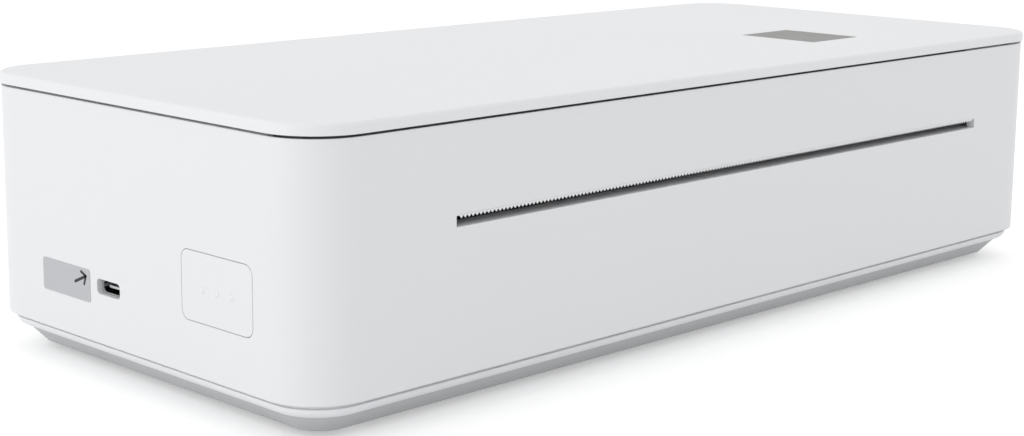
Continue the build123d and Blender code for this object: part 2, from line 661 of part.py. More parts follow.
def bay_floor():
    """Cross-section of the bay: rear wall, round trough and ramp up to the platen."""
    inner = [(TROUGH_Y + TROUGH_R, DECK_Z)] + trough_points(TROUGH_R, 0, RAMP_END, 22)
    inner += [(CREST_Y, CREST_Z), (CREST_Y - CREST_EDGE, CREST_Z - CREST_FALL)]
    flat = TROUGH_Y - sqrt((TROUGH_R + TUB_T) ** 2 - (TROUGH_R + TUB_T - TROUGH_FLAT) ** 2)
    outer = [(CREST_Y - CREST_EDGE, CREST_Z - CREST_T), (CREST_Y + 1, CREST_Z - TUB_T - 1.5)]
    outer += [(TROUGH_Y + (TROUGH_R + TUB_T) * cos(radians(RAMP_END)),
               TROUGH_Z + (TROUGH_R + TUB_T) * sin(radians(RAMP_END)) - 1)]
    outer += [(flat - TUB_T, TUB_FLOOR + SADDLE), (TROUGH_Y - RACK_R - SADDLE, TUB_FLOOR),
              (TROUGH_Y + RACK_R + SADDLE, TUB_FLOOR)]
    outer += [(TROUGH_Y + TROUGH_R + TUB_T, TROUGH_Z - HEEL_DOWN), (TROUGH_Y + TROUGH_R + TUB_T, DECK_Z)]
    return inner + outer


def inner_tub():
    """Moulded bay for the paper roll, with its deck, end walls, ramp and exit lip."""
    x0, x1 = PATH_X - BAY_HALF, PATH_X + BAY_HALF
    edge = IN_X - 0.5
    front = TUB_FRONT
    rear = HINGE_Y - KNUCKLE_R - 1.5
    radius = CORNER_R - WALL - 0.5
    deck = round_slab(2 * edge, rear - front, radius, DECK_Z - DECK_T, DECK_Z, 0, (front + rear) / 2)
    well = block(x0, x1, front + 2.4, TROUGH_Y + TROUGH_R, DECK_Z - DECK_T - 1, DECK_Z + 1)
    tub = deck - well
    tub = tub + side_plate(bay_floor(), x0 - TUB_T, x1 + TUB_T)
    wall = [(front, DECK_Z), (front, FLOOR_Z + WALL_FOOT), (CREST_Y, TUB_FLOOR + WALL_FOOT),
            (TROUGH_Y - RACK_R - SADDLE, TUB_FLOOR),
            (TROUGH_Y + RACK_R + SADDLE, TUB_FLOOR), (TROUGH_Y + TROUGH_R + TUB_T, TROUGH_Z - HEEL_DOWN),
            (TROUGH_Y + TROUGH_R + TUB_T, DECK_Z)]
    for near, far in ((x0 - TUB_T, x0), (x1, x1 + TUB_T)):
        tub = tub + side_plate(wall, near, far)
    shelf = [(front, LIP_Z), (front, LIP_Z - LIP_LEG), (front + TUB_T, LIP_Z - LIP_LEG),
             (front + TUB_T, LIP_Z - TUB_T), (LIP_BACK - 0.4, LIP_Z - TUB_T), (LIP_BACK - 0.4, LIP_Z)]
    tub = tub + side_plate(shelf, x0 - 1, x1 + 1)
    tub = tub - rod_x(x0 - 2 * TUB_T, x1 + 2 * TUB_T, PLATEN_Y, PLATEN_Z, SHAFT_R + BUSH_WALL + 1)
    for side in (-1, 1):
        y = TROUGH_Y + side * RACK_R
        outer_x = PATH_X + side * (BAY_HALF - 0.01)
        inner_x = PATH_X + side * (CHEEK_X - GUIDE_TRAVEL - GUIDE_GAP)
        tub = tub - block(min(outer_x, inner_x), max(outer_x, inner_x), y - 1.8, y + 1.8,
                          TUB_FLOOR - 1, TROUGH_Z - TROUGH_R + FOOT_RISE)
    half = SENSOR_W / 2 + FIT
    tub = tub - block(SENSOR_X - half - SENSOR_END, SENSOR_X + half + SENSOR_END, SENSOR_Y - half,
                      SENSOR_Y + half, TUB_FLOOR + SENSOR_PIT, CREST_Z + SENSOR_H)
    for x, y in deck_screw_places():
        tub = tub - screw_hole(x, y, DECK_Z - DECK_T - 1, DECK_Z + 1, FIT)
    return tub


def exit_lip():
    """Light strip that the paper leaves over, hooked on the front of the bay."""
    face = -IN_Y + 0.1
    strip = [(face, SLOT_Z - 0.05), (face, LIP_Z - LIP_LEG), (TUB_FRONT - 0.05, LIP_Z - LIP_LEG),
             (TUB_FRONT - 0.05, LIP_Z), (LIP_BACK, LIP_Z), (LIP_BACK, SLOT_Z - 0.6),
             (LIP_BACK - 0.6, SLOT_Z - 0.05)]
    return side_plate(strip, PATH_X - BAY_HALF + FIT, PATH_X + BAY_HALF - FIT)


def paper_sensor():
    """Small reflective sensor let into the ramp, just under the paper."""
    top = CREST_Z - SENSOR_DROP
    half = SENSOR_W / 2
    body = block(SENSOR_X - half - SENSOR_END, SENSOR_X + half + SENSOR_END, SENSOR_Y - half,
                 SENSOR_Y + half, top - SENSOR_H, top)
    return body - block(SENSOR_X - 2.5, SENSOR_X - 0.5, SENSOR_Y - 1, SENSOR_Y + 1, top - 0.8, top + 1)


def guide_rack(side):
    """Toothed strip of one paper guide; side is -1 for the left guide."""
    pitch = pi * RACK_MODULE
    slope = tan(radians(20))
    half = pitch / 4 - GEAR_BACKLASH / 4
    tip, root = 0.8 * RACK_MODULE, 1.05 * RACK_MODULE
    end = 6.0
    points = []
    count = int((CHEEK_X + end) / pitch) - 1
    for n in range(-1, count):
        x = -(n + 0.5) * pitch
        points += [(x + half + root * slope, -root), (x + half - tip * slope, tip),
                   (x - half + tip * slope, tip), (x - half - root * slope, -root)]
    points = [(end, -root)] + points + [(-CHEEK_X - GUIDE_T, -root), (-CHEEK_X - GUIDE_T, -RACK_BACK),
                                        (end, -RACK_BACK)]
    flip = -side
    place = [(PATH_X + flip * x, TROUGH_Y + flip * (y - RACK_R), RACK_Z) for x, y in points]
    return extrude(make_face(Polyline(*place, close=True)), RACK_T, dir=(0, 0, 1))


def paper_guide(side):
    """Cheek that centres the roll, with its foot through the floor and its rack below."""
    near = PATH_X + side * CHEEK_X
    far = near + side * GUIDE_T
    x0, x1 = min(near, far), max(near, far)
    radius = TROUGH_R - TROUGH_GAP
    cheek = rod_x(x0, x1, TROUGH_Y, TROUGH_Z, radius)
    cheek = cheek & block(x0 - 1, x1 + 1, TROUGH_Y - radius, TROUGH_Y + radius, 0, DECK_Z - 2)
    cheek = cheek - flat_bar(x0 - 1, x1 + 1, TROUGH_Y, TROUGH_Z, CHEEK_HOLE_R, DISC_SIDES)
    y = TROUGH_Y + side * RACK_R
    foot = block(x0, x1, y - 1.5, y + 1.5, RACK_Z, TROUGH_Z - TROUGH_R + FOOT_RISE)
    return cheek + foot + guide_rack(side)


def guide_pinion():
    """Gear that makes the two guides move together."""
    outline = gear_outline(RACK_MODULE, RACK_TEETH, -pi / 2)
    face = make_face(Polyline(*[(PATH_X + x, TROUGH_Y + y, RACK_Z) for x, y in outline], close=True))
    gear = extrude(face, RACK_T, dir=(0, 0, 1))
    return gear - rod_z(PATH_X, TROUGH_Y, RACK_Z - 1, RACK_TOP + 1, POST_R + RUN_FIT)


# ---- platen and drive ----
def drive_plate(side, back):
    """Steel side plate with a foot and a bearing hole; side is -1 for the left plate."""
    near, far = PATH_X + side * PLATE_IN, PATH_X + side * PLATE_OUT
    x0, x1 = min(near, far), max(near, far)
    front, top = PLATEN_Y - PLATE_FRONT, PLATEN_Z + PLATE_RISE
    outline = [(front, top), (front, FLOOR_Z), (back, FLOOR_Z), (back, top - PLATE_DROP),
               (back - PLATE_SLANT, top)]
    plate = side_plate(outline, x0, x1)
    plate = plate + between(near, far + side * PLATE_TOE, front + 2 * PLATE_FRONT, back - PLATE_SLANT,
                            FLOOR_Z, FLOOR_Z + PLATE_T)
    return plate - rod_x(x0 - 1, x1 + 1, PLATEN_Y, PLATEN_Z, SHAFT_R + BUSH_WALL)


def side_plate_left():
    """Left side plate, with a lightening hole."""
    plate = drive_plate(-1, PLATEN_Y + LEFT_PLATE_BACK)
    x = PATH_X - PLATE_OUT
    y = PLATEN_Y + 2 * LIGHT_HOLE_R
    return plate - rod_x(x - 1, x + PLATE_T + 1, y, FLOOR_Z + 2 * LIGHT_HOLE_R, LIGHT_HOLE_R)


def side_plate_right():
    """Right side plate, which carries the idler post and the motor bracket."""
    plate = drive_plate(1, PLATEN_Y + RIGHT_PLATE_BACK)
    x = PATH_X + PLATE_IN
    return plate - rod_x(x - 1, x + PLATE_T + 1, IDLER_Y, IDLER_Z, POST_R)


def platen_shaft():
    """Steel shaft of the platen, through both side plates and the gear."""
    return rod_x(PATH_X - PLATE_OUT - 2, GEAR_X + GEAR_W + 0.6, PLATEN_Y, PLATEN_Z, SHAFT_R)


def platen_rubber():
    """Rubber sleeve that drives the paper."""
    half = (PAPER_W + PLATEN_EXTRA) / 2
    sleeve = rod_x(PATH_X - half, PATH_X + half, PLATEN_Y, PLATEN_Z, PLATEN_R)
    return sleeve - rod_x(PATH_X - half - 1, PATH_X + half + 1, PLATEN_Y, PLATEN_Z, SHAFT_R)


def platen_bushes():
    """Flanged bushes in the side plates."""
    bushes = []
    for side in (-1, 1):
        near, far = PATH_X + side * (PLATE_IN - BUSH_FLANGE), PATH_X + side * (PLATE_OUT + 0.2)
        seat = PATH_X + side * PLATE_IN
        bush = rod_x(min(near, far), max(near, far), PLATEN_Y, PLATEN_Z, SHAFT_R + BUSH_WALL)
        bush = bush + rod_x(min(near, seat), max(near, seat), PLATEN_Y, PLATEN_Z, SHAFT_R + BUSH_WALL + 0.8)
        bush = bush - rod_x(min(near, far) - 1, max(near, far) + 1, PLATEN_Y, PLATEN_Z, SHAFT_R + RUN_FIT)
        bushes.append(bush.solid())
    return Compound(bushes)


def platen_gear():
    """Gear pressed on the end of the platen shaft."""
    gear = gear_x(PLATEN_TEETH, PLATEN_TURN, PLATEN_Y, PLATEN_Z, GEAR_X, GEAR_W)
    return gear - rod_x(GEAR_X - 1, GEAR_X + GEAR_W + 1, PLATEN_Y, PLATEN_Z, SHAFT_R)


def idler_gear():
    """Intermediate gear, with a thinned web."""
    gear = gear_x(IDLER_TEETH, IDLER_TURN, IDLER_Y, IDLER_Z, GEAR_X, GEAR_W)
    gear = gear - rod_x(GEAR_X - 1, GEAR_X + GEAR_W + 1, IDLER_Y, IDLER_Z, POST_R + RUN_FIT)
    ring = rod_x(GEAR_X + GEAR_W - 1.5, GEAR_X + GEAR_W + 1, IDLER_Y, IDLER_Z, WEB_OUT_R)
    return gear - (ring - rod_x(GEAR_X, GEAR_X + GEAR_W + 2, IDLER_Y, IDLER_Z, WEB_IN_R))


def idler_post():
    """Post riveted in the side plate, with a head that keeps the idler on."""
    post = rod_x(PATH_X + PLATE_IN, GEAR_X + GEAR_W + 0.2, IDLER_Y, IDLER_Z, POST_R)
    collar = flat_bar(PATH_X + PLATE_OUT, GEAR_X - 0.15, IDLER_Y, IDLER_Z, POST_R + 1.0, HEAD_SIDES)
    end = GEAR_X + GEAR_W + 0.15
    head = flat_bar(end, end + 0.5, IDLER_Y, IDLER_Z, POST_R + 1.0, HEAD_SIDES)
    return post + collar + head


def motor_pinion():
    """Small gear on the motor shaft."""
    gear = gear_x(PINION_TEETH, PINION_TURN, PINION_Y, PINION_Z, GEAR_X, GEAR_W)
    return gear - rod_x(GEAR_X - 1, GEAR_X + GEAR_W + 1, PINION_Y, PINION_Z, MOTOR_SHAFT_R)


def motor_shaft():
    """Rotor shaft of the motor."""
    return rod_x(GEAR_X - 0.2, BRACKET_X + PLATE_T + 0.8, PINION_Y, PINION_Z, MOTOR_SHAFT_R)


def motor():
    """Round stepper motor with a flat flange and a connector block."""
    x0 = BRACKET_X + PLATE_T
    can = rod_x(x0, x0 + MOTOR_L, PINION_Y, PINION_Z, MOTOR_R)
    flange = rod_x(x0, x0 + 0.8, PINION_Y, PINION_Z, MOTOR_R + 1.0)
    y0, y1 = PINION_Y - MOTOR_PLUG_W / 2, PINION_Y + MOTOR_PLUG_W / 2
    z0 = PINION_Z - MOTOR_R - MOTOR_PLUG_DOWN
    plug = block(x0 + MOTOR_PLUG_IN, x0 + MOTOR_PLUG_END, y0, y1, z0, z0 + MOTOR_PLUG_H)
    body = can + flange + plug
    return body - rod_x(x0 - 1, x0 + 2, PINION_Y, PINION_Z, MOTOR_SHAFT_R + 0.3)


def motor_bracket():
    """Plate in front of the motor, held off the side plate by three spacers."""
    x0 = BRACKET_X
    reach = MOTOR_R + BRACKET_EDGE
    y0, y1 = PINION_Y - reach, PINION_Y + reach
    plate = block(x0, x0 + PLATE_T, y0, y1, FLOOR_Z, PINION_Z + reach)
    plate = plate + block(x0, x0 + BRACKET_FOOT, y0, y1, FLOOR_Z, FLOOR_Z + PLATE_T)
    plate = plate - rod_x(x0 - 1, x0 + PLATE_T + 1, PINION_Y, PINION_Z, 4 * MOTOR_SHAFT_R)
    edge = SPACER_R + 0.5
    low, high = FLOOR_Z + 2 * edge, PINION_Z + reach - edge
    for y, z in ((y0 + edge, low), (y1 - edge, low), (y1 - edge, high)):
        plate = plate + flat_bar(PATH_X + PLATE_OUT, x0, y, z, SPACER_R, 6)
    return plate


# ---- print head ----
def head_ceramic():
    """Heater strip that presses the paper on the platen."""
    return block(PATH_X - HEAD_HALF, PATH_X + HEAD_HALF, PLATEN_Y - HEAD_W / 2, PLATEN_Y + HEAD_W / 2,
                 HEAD_Z, SINK_Z)


def head_heatsink():
    """Aluminium bar behind the heater strip, with fins along it and a lug at each end."""
    depth = BRACKET_W - 2 * BRACKET_T - 1.2
    y0, y1 = PLATEN_Y - depth / 2, PLATEN_Y + depth / 2
    bar = block(PATH_X - HEAD_HALF, PATH_X + HEAD_HALF, y0, y1, SINK_Z, SINK_TOP)
    for n in (-2, -1, 1, 2):
        y = PLATEN_Y + n * 2.6
        bar = bar - block(PATH_X - HEAD_HALF - 1, PATH_X + HEAD_HALF + 1, y - 0.6, y + 0.6,
                          SINK_TOP - 1.6, SINK_TOP + 1)
    for side in (-1, 1):
        bar = bar + between(PATH_X + side * (HEAD_HALF - 1), PATH_X + side * (BRACKET_HALF + 1),
                            PLATEN_Y - 2, PLATEN_Y + 2, SINK_Z + 0.3, SINK_Z + 2.3)
    return bar


def head_bracket():
    """Steel channel under the lid, open downwards, with slots for the lugs of the heat sink."""
    y0, y1 = PLATEN_Y - BRACKET_W / 2, PLATEN_Y + BRACKET_W / 2
    x0, x1 = PATH_X - BRACKET_HALF, PATH_X + BRACKET_HALF
    bottom = BRACKET_TOP - BRACKET_DROP
    channel = block(x0, x1, y0, y1, bottom, BRACKET_TOP)
    t = BRACKET_T
    channel = channel - block(x0 + t, x1 - t, y0 + t, y1 - t, bottom - 1, BRACKET_TOP - t)
    for side in (-1, 1):
        outer, inner = PATH_X + side * BRACKET_HALF, PATH_X + side * (BRACKET_HALF - t)
        channel = channel + between(outer, inner, PLATEN_Y - 4, PLATEN_Y + 4, SINK_Z - 0.8, bottom + 1)
        channel = channel - between(outer + side * 2, inner - side * 2, PLATEN_Y - 2.2, PLATEN_Y + 2.2,
                                    SINK_Z + 0.2, SINK_Z + 2.4 + HEAD_TRAVEL)
    for x in spring_places():
        spigot = flat_rod(x, PLATEN_Y, BRACKET_TOP - t - 2.5, BRACKET_TOP - t, SPRING_R - 1.0, SHANK_SIDES)
        channel = channel + spigot
    for x in head_screw_places():
        channel = channel - screw_hole(x, PLATEN_Y, BRACKET_TOP - t - 1, BRACKET_TOP + 1)
    return channel


def spring_places():
    """Springs spread evenly over the width of the paper."""
    return [PATH_X + n * PAPER_W / 4 for n in (-1.5, -0.5, 0.5, 1.5)]


def head_screw_places():
    """Screws that hold the channel to the liner, between the springs and near the ends."""
    outer = BRACKET_HALF - HEAD_SCREW_IN
    return [PATH_X + x for x in (-outer, -PAPER_W / 4, PAPER_W / 4, outer)]


def head_springs():
    """Coil springs between the heat sink and the channel."""
    wire = SPRING_WIRE_R
    rise = BRACKET_TOP - BRACKET_T - SINK_TOP - 2 * wire
    steps = SPRING_TURNS * SPRING_SIDES
    springs = []
    for x in spring_places():
        coil = [(x + (SPRING_R - wire) * cos(2 * pi * n / SPRING_SIDES),
                 PLATEN_Y + (SPRING_R - wire) * sin(2 * pi * n / SPRING_SIDES),
                 SINK_TOP + wire + rise * n / steps) for n in range(steps + 1)]
        path = Polyline(*coil)
        section = Plane(origin=path @ 0, z_dir=path % 0) * RegularPolygon(wire, 4)
        springs.append(sweep(section, path=path, transition=Transition.RIGHT).solid())
    return Compound(springs)


# ---- left side ----
def usb_connector():
    """Metal socket shell with its tongue, standing on the board behind its hole."""
    mouth, root = PORT_X, BOARD_X
    shell = left_tile(PORT_Y, PORT_Z, SOCKET_L, SOCKET_H, SOCKET_H / 2 - 0.01, mouth, root)
    length, height = SOCKET_L - 2 * SOCKET_T, SOCKET_H - 2 * SOCKET_T
    bore = left_tile(PORT_Y, PORT_Z, length, height, height / 2 - 0.01, mouth - 1, root - 1)
    tongue = block(mouth + 0.6, root - 0.5, PORT_Y - TONGUE_L / 2, PORT_Y + TONGUE_L / 2,
                   PORT_Z - TONGUE_T / 2, PORT_Z + TONGUE_T / 2)
    return shell - bore + tongue


def port_label():
    """Bare sticker beside the socket."""
    return left_tile(LABEL_Y, LABEL_Z, LABEL_L, LABEL_H, LABEL_R, -LENGTH / 2 - LABEL_T, -LENGTH / 2)


def dot_places():
    """Three indicator dots on the button."""
    return [BUTTON_Y + n * DOT_PITCH for n in (-1, 0, 1)]


def button_cap():
    """Large push button with a hollow back, a stem and three light holes."""
    face = -LENGTH / 2
    length, height = BUTTON_L - 2 * BUTTON_GAP, BUTTON_H - 2 * BUTTON_GAP
    cap = left_tile(BUTTON_Y, BUTTON_Z, length, height, BUTTON_R - BUTTON_GAP, face, face + BUTTON_T)
    cap = cap - left_tile(BUTTON_Y, BUTTON_Z, length - 3, height - 3, BUTTON_R - BUTTON_GAP - 1.5,
                          face + 1.2, face + BUTTON_T + 1)
    cap = cap + flat_bar(face + 1, STEM_END, BUTTON_Y, SWITCH_Z, PLUNGER_R + 0.2, HEAD_SIDES)
    for y in dot_places():
        cap = cap - flat_bar(face - 1, face + 2, y, DOT_Z, DOT_R, HEAD_SIDES)
    return cap


def led_pipes():
    """Light pipes that end in low domes on the button."""
    face = -LENGTH / 2
    pipes = []
    for y in dot_places():
        pipe = flat_bar(face - DOT_PROUD, face + 1.2, y, DOT_Z, DOT_R, HEAD_SIDES)
        rim = pipe.edges().group_by(Axis.X)[0]
        pipes.append(chamfer(rim, DOT_PROUD - 0.05, 2 * DOT_PROUD).solid())
    return Compound(pipes)


def tact_switch():
    """Switch body on the board, under the button's stem."""
    half = SWITCH_W / 2
    body = block(BOARD_X - SWITCH_H, BOARD_X, BUTTON_Y - half, BUTTON_Y + half,
                 SWITCH_Z - half, SWITCH_Z + half)
    bottom = STEM_END + PLUNGER_L + BUTTON_TRAVEL + SLIDE_GAP
    return body - rod_x(BOARD_X - SWITCH_H - 1, bottom, BUTTON_Y, SWITCH_Z, PLUNGER_R + 0.1)


def switch_plunger():
    """Plunger that the button pushes into the switch."""
    return rod_x(STEM_END, STEM_END + PLUNGER_L, BUTTON_Y, SWITCH_Z, PLUNGER_R)


def main_board():
    """Upright circuit board with its larger chips on the inner side."""
    x0, x1 = BOARD_X, BOARD_X + BOARD_T
    front, rear = BUTTON_Y - BOARD_FRONT, LABEL_Y + BOARD_REAR
    low, top = FLOOR_Z + RAIL_UP + SLIDE_GAP, PLATEN_Z + BOARD_RISE
    board = block(x0, x1, front, rear, low, top)
    board = board + block(x1, x1 + CHIP_T, PORT_Y - CHIP_W, PORT_Y, top - 1.5 * CHIP_W, top - CHIP_W / 2)
    board = board + block(x1, x1 + PLUG_T, front + PLUG_T, front + PLUG_T + CHIP_W,
                          low + COIL_W, low + 2 * COIL_W)
    board = board + block(x1, x1 + COIL_T, LABEL_Y - COIL_W, LABEL_Y, low + 2 * COIL_W, low + 3 * COIL_W)
    return board


# ---- battery, feet and screws ----
def battery_cells():
    """Two round cells end to end."""
    return Compound([rod_x(PATH_X + x, PATH_X + x + CELL_L, CELL_Y, CELL_Z, CELL_R).solid()
                     for x in (-CELL_L - 0.5, 0.5)])


def battery_cradle():
    """Open cradle that the cells lie in."""
    half = CELL_L + 1.0
    width = CELL_R + 1.2
    cradle = block(PATH_X - half - CRADLE_T, PATH_X + half + CRADLE_T, CELL_Y - width, CELL_Y + width,
                   FLOOR_Z, CELL_Z)
    return cradle - rod_x(PATH_X - half, PATH_X + half, CELL_Y, CELL_Z, CELL_R + 0.05)


def feet():
    """Rubber feet sunk in the base."""
    return Compound([flat_rod(x, y, 0, BASE_Z + FOOT_SUNK, FOOT_R, DISC_SIDES).solid()
                     for x, y in corners(FOOT_X, FOOT_Y)])


def screw(x, y, seat, length, way):
    """Socket-head screw; its head rests on the level seat and way points to its tip, 1 for upwards."""
    crown, tip = seat - way * HEAD_T, seat + way * length
    head = flat_rod(x, y, min(crown, seat), max(crown, seat), SCREW_HEAD_R, HEAD_SIDES)
    recess = Pos(x, y, crown) * extrude(RegularPolygon(SOCKET_R, 6), 0.8, both=True)
    return (head - recess + flat_rod(x, y, min(seat, tip), max(seat, tip), SCREW_R, SHANK_SIDES)).solid()


def case_screws():
    """Screws through the base into the casing bosses."""
    seat = BASE_Z + COUNTERBORE
    return Compound([screw(x, y, seat, FLOOR_Z + SCREW_L - 2 - seat, 1) for x, y in corners(BOSS_X, BOSS_Y)])


def deck_screws():
    """Screws through the deck of the bay into the ledges of the casing."""
    return Compound([screw(x, y, DECK_Z, DECK_SCREW_L, -1) for x, y in deck_screw_places()])


def head_screws():
    """Screws through the channel of the print head into the lid's liner."""
    seat = BRACKET_TOP - BRACKET_T
    return Compound([screw(x, PLATEN_Y, seat, LINER_RIB, 1) for x in head_screw_places()])


NODES = {
    "base_tray": base_tray,
    "skirt_band": skirt_band,
    "body_shell": body_shell,
    "tear_bar": tear_bar,
    "lid_panel": lid_panel,
    "lid_liner": lid_liner,
    "lid_window": lid_window,
    "lid_magnets": lid_magnets,
    "strike_plates": strike_plates,
    "hinge_pins": hinge_pins,
    "inner_tub": inner_tub,
    "exit_lip": exit_lip,
    "paper_sensor": paper_sensor,
    "paper_guide_left": lambda: paper_guide(-1),
    "paper_guide_right": lambda: paper_guide(1),
    "guide_pinion": guide_pinion,
    "side_plate_left": side_plate_left,
    "side_plate_right": side_plate_right,
    "platen_shaft": platen_shaft,
    "platen_rubber": platen_rubber,
    "platen_bushes": platen_bushes,
    "platen_gear": platen_gear,
    "idler_gear": idler_gear,
    "idler_post": idler_post,
    "motor_pinion": motor_pinion,
    "motor_shaft": motor_shaft,
    "motor": motor,
    "motor_bracket": motor_bracket,
    "head_ceramic": head_ceramic,
    "head_heatsink": head_heatsink,
    "head_bracket": head_bracket,
    "head_springs": head_springs,
    "main_board": main_board,
    "usb_connector": usb_connector,
    "port_label": port_label,
    "button_cap": button_cap,
    "led_pipes": led_pipes,
    "tact_switch": tact_switch,
    "switch_plunger": switch_plunger,
    "battery_cells": battery_cells,
    "battery_cradle": battery_cradle,
    "feet": feet,
    "case_screws": case_screws,
    "deck_screws": deck_screws,
    "head_screws": head_screws,
}

os.makedirs("parts", exist_ok=True)
for name, make in NODES.items():
    export_step(make(), f"parts/{name}.step")
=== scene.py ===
import math

import bmesh
import bpy
from bpy.props import FloatProperty, FloatVectorProperty, IntProperty, PointerProperty
from mathutils import Matrix, Vector


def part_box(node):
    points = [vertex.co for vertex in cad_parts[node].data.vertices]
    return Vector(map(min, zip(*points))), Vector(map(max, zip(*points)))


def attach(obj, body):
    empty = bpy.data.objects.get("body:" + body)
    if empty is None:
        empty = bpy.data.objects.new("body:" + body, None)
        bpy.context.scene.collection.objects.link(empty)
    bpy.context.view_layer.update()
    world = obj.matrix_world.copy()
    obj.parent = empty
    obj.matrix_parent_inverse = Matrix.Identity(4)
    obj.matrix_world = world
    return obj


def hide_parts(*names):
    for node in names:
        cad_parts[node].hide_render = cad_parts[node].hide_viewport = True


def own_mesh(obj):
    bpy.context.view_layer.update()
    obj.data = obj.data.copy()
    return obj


bl_info = {
    "name": "Portable page printer",
    "version": (1, 0, 0),
    "blender": (4, 5, 0),
    "location": "View3D > Sidebar > Printer",
    "description": "Finishes, small pieces, floor and lamps for a portable thermal printer",
    "category": "Add Mesh",
}

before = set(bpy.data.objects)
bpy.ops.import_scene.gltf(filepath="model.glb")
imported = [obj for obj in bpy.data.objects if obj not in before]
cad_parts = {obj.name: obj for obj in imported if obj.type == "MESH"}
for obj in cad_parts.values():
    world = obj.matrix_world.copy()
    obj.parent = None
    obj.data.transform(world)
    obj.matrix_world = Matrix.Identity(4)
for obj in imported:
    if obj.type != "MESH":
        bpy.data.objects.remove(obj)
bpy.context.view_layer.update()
PICTURE = (1024, 436)
CASING_DEPTH = 0.000006  # relief of the casing's grain
FINE_DEPTH = 0.000003  # relief of small smooth mouldings
FINE_EDGE = 0.0001  # rounding of small mouldings
PRINT_RELIEF = 0.000002  # ink above its sticker, and below
FLOOR_DROP = 0.0002  # floor below the feet
STROKE_STEPS = 6  # straight runs round the end of a stroke
HEATER_STEPS = 8  # straight runs across the heater line
HEATER_SUNK = 0.00004  # foot of the heater line inside the ceramic
HEATER_END = 0.001  # ceramic left beyond each end of the heater line
TURN_STEPS = 20  # straight runs in a turn of a spring
CLOSED_ENDS = 0.055  # how much a spring's ends are wound closer
LAMP_SPOT = (0, 0, 0.03)  # what the lamps point at
SIDE_PLACE, SIDE_SIZE = (-1.5, 0.55, 0.5), (1.2, 0.9)
LOW_PLACE, LOW_SIZE = (-1.6, 0.2, 0.15), (1.2, 0.3)
CAMERA_PLACE = (-0.40163, -0.37595, 0.13541)


# ---- settings that a user would change ----
def colour(name, about, value):
    """A colour setting."""
    return FloatVectorProperty(name=name, description=about, default=value, size=3,
                               subtype="COLOR", min=0.0, max=1.0)


def length(name, about, value):
    """A length setting, in metres."""
    return FloatProperty(name=name, description=about, default=value, min=0.0,
                         subtype="DISTANCE", unit="LENGTH", precision=5)


def share(name, about, value, high=1.0):
    """A plain number setting."""
    return FloatProperty(name=name, description=about, default=value, min=0.0, max=high)


class PrinterFinishes(bpy.types.PropertyGroup):
    """Colours and surface sizes of the printer."""

    casing: colour("Casing", "Moulded casing and button", (0.828, 0.837, 0.852))
    # painted light: the lid's white is a little lighter than the casing's, so the top reads as lit from above
    lid: colour("Lid", "Hinged lid", (0.848, 0.857, 0.872))
    # painted light: the band's white is lighter than the casing's, to brighten its shaded downward slope
    band: colour("Band", "Band under the casing wall", (0.87, 0.88, 0.898))
    # painted highlight: the tear bar's white is lighter than the casing's, so the recessed teeth read as
    # catching light; the exit lip shares it
    teeth: colour("Teeth", "Tear bar and its teeth", (0.89, 0.895, 0.905))
    base: colour("Base", "Sloped base under the casing", (0.548, 0.563, 0.577))
    liner: colour("Inner mouldings", "Roll bay, guides and lid liner", (0.16, 0.165, 0.175))
    plate: colour("Lid plate", "Flush plate in the lid", (0.3, 0.296, 0.29))
    label: colour("Label", "Foil sticker beside the socket", (0.485, 0.49, 0.51))
    ink: colour("Ink", "Printed arrow on the sticker", (0.008, 0.008, 0.009))
    steel: colour("Steel", "Plated sheet steel", (0.58, 0.59, 0.6))
    aluminium: colour("Aluminium", "Heat sink", (0.72, 0.73, 0.74))
    rubber: colour("Rubber", "Platen sleeve and feet", (0.028, 0.028, 0.03))
    acetal: colour("Acetal", "Gears", (0.74, 0.73, 0.68))
    board: colour("Board", "Solder mask of the circuit board", (0.02, 0.11, 0.06))
    film: colour("Battery film", "Shrink film round the cells", (0.03, 0.1, 0.28))
    glaze: colour("Glaze", "Ceramic strip of the print head", (0.05, 0.035, 0.03))
    heater: colour("Heater", "Raised line of the print head", (0.09, 0.06, 0.045))
    grain: length("Grain", "Size of the moulded grain", 0.00035)
    edge: length("Edge", "Rounding that moulded edges catch light with", 0.00022)


class PrinterSizes(bpy.types.PropertyGroup):
    """Sizes of the small pieces."""

    wire: length("Spring wire", "Radius of the spring wire", 0.00035)
    coil: length("Spring coil", "Radius of a spring, to the middle of its wire", 0.00215)
    turns: FloatProperty(name="Spring turns", description="Turns of each spring", default=6.5,
                         min=2.0, max=20.0)
    springs: IntProperty(name="Springs", description="Springs behind the print head", default=4, min=2, max=8)
    arrow: length("Arrow", "Length of the arrow on the sticker", 0.0053)
    arrow_rise: FloatProperty(name="Arrow rise", description="Angle that the arrow points upwards",
                              default=math.radians(23.5), subtype="ANGLE")
    tooth_pitch: length("Tooth pitch", "Distance from one tear tooth to the next", 0.001255)
    tooth_height: length("Tooth height", "Height of a tear tooth", 0.0007)
    tooth_depth: length("Tooth depth", "Thickness of the tear teeth", 0.00018)
    tooth_strip: length("Strip above the teeth", "Height of the strip that carries the teeth", 0.00017)
    tooth_sunk: length("Tooth drop", "Tips of the teeth below the lowest point of the plain bar", 0.0001)
    bar_depth: length("Bar depth", "Thickness of the tear bar behind the wall", 0.00045)
    bar_end: length("Bar end", "Length of the tear bar beyond each end of the slot", 0.0018)
    heater: length("Heater line", "Width of the raised heater line", 0.0009)


class PrinterStage(bpy.types.PropertyGroup):
    """Floor, lamps and camera."""

    floor: length("Floor", "Radius of the floor", 4.0)
    floor_tone: share("Floor tone", "Brightness of the floor", 0.86)
    lift: share("Floor lift", "Brightness that the camera sees added to the floor", 0.36)
    air: share("Air", "Strength of the even light all round", 0.875, 5.0)
    side_lamp: share("Side lamp", "Power of the lamp at the left, in watts", 1.8, 1000.0)
    low_lamp: share("Low lamp", "Power of the lamp low at the left, in watts", 2.6, 1000.0)


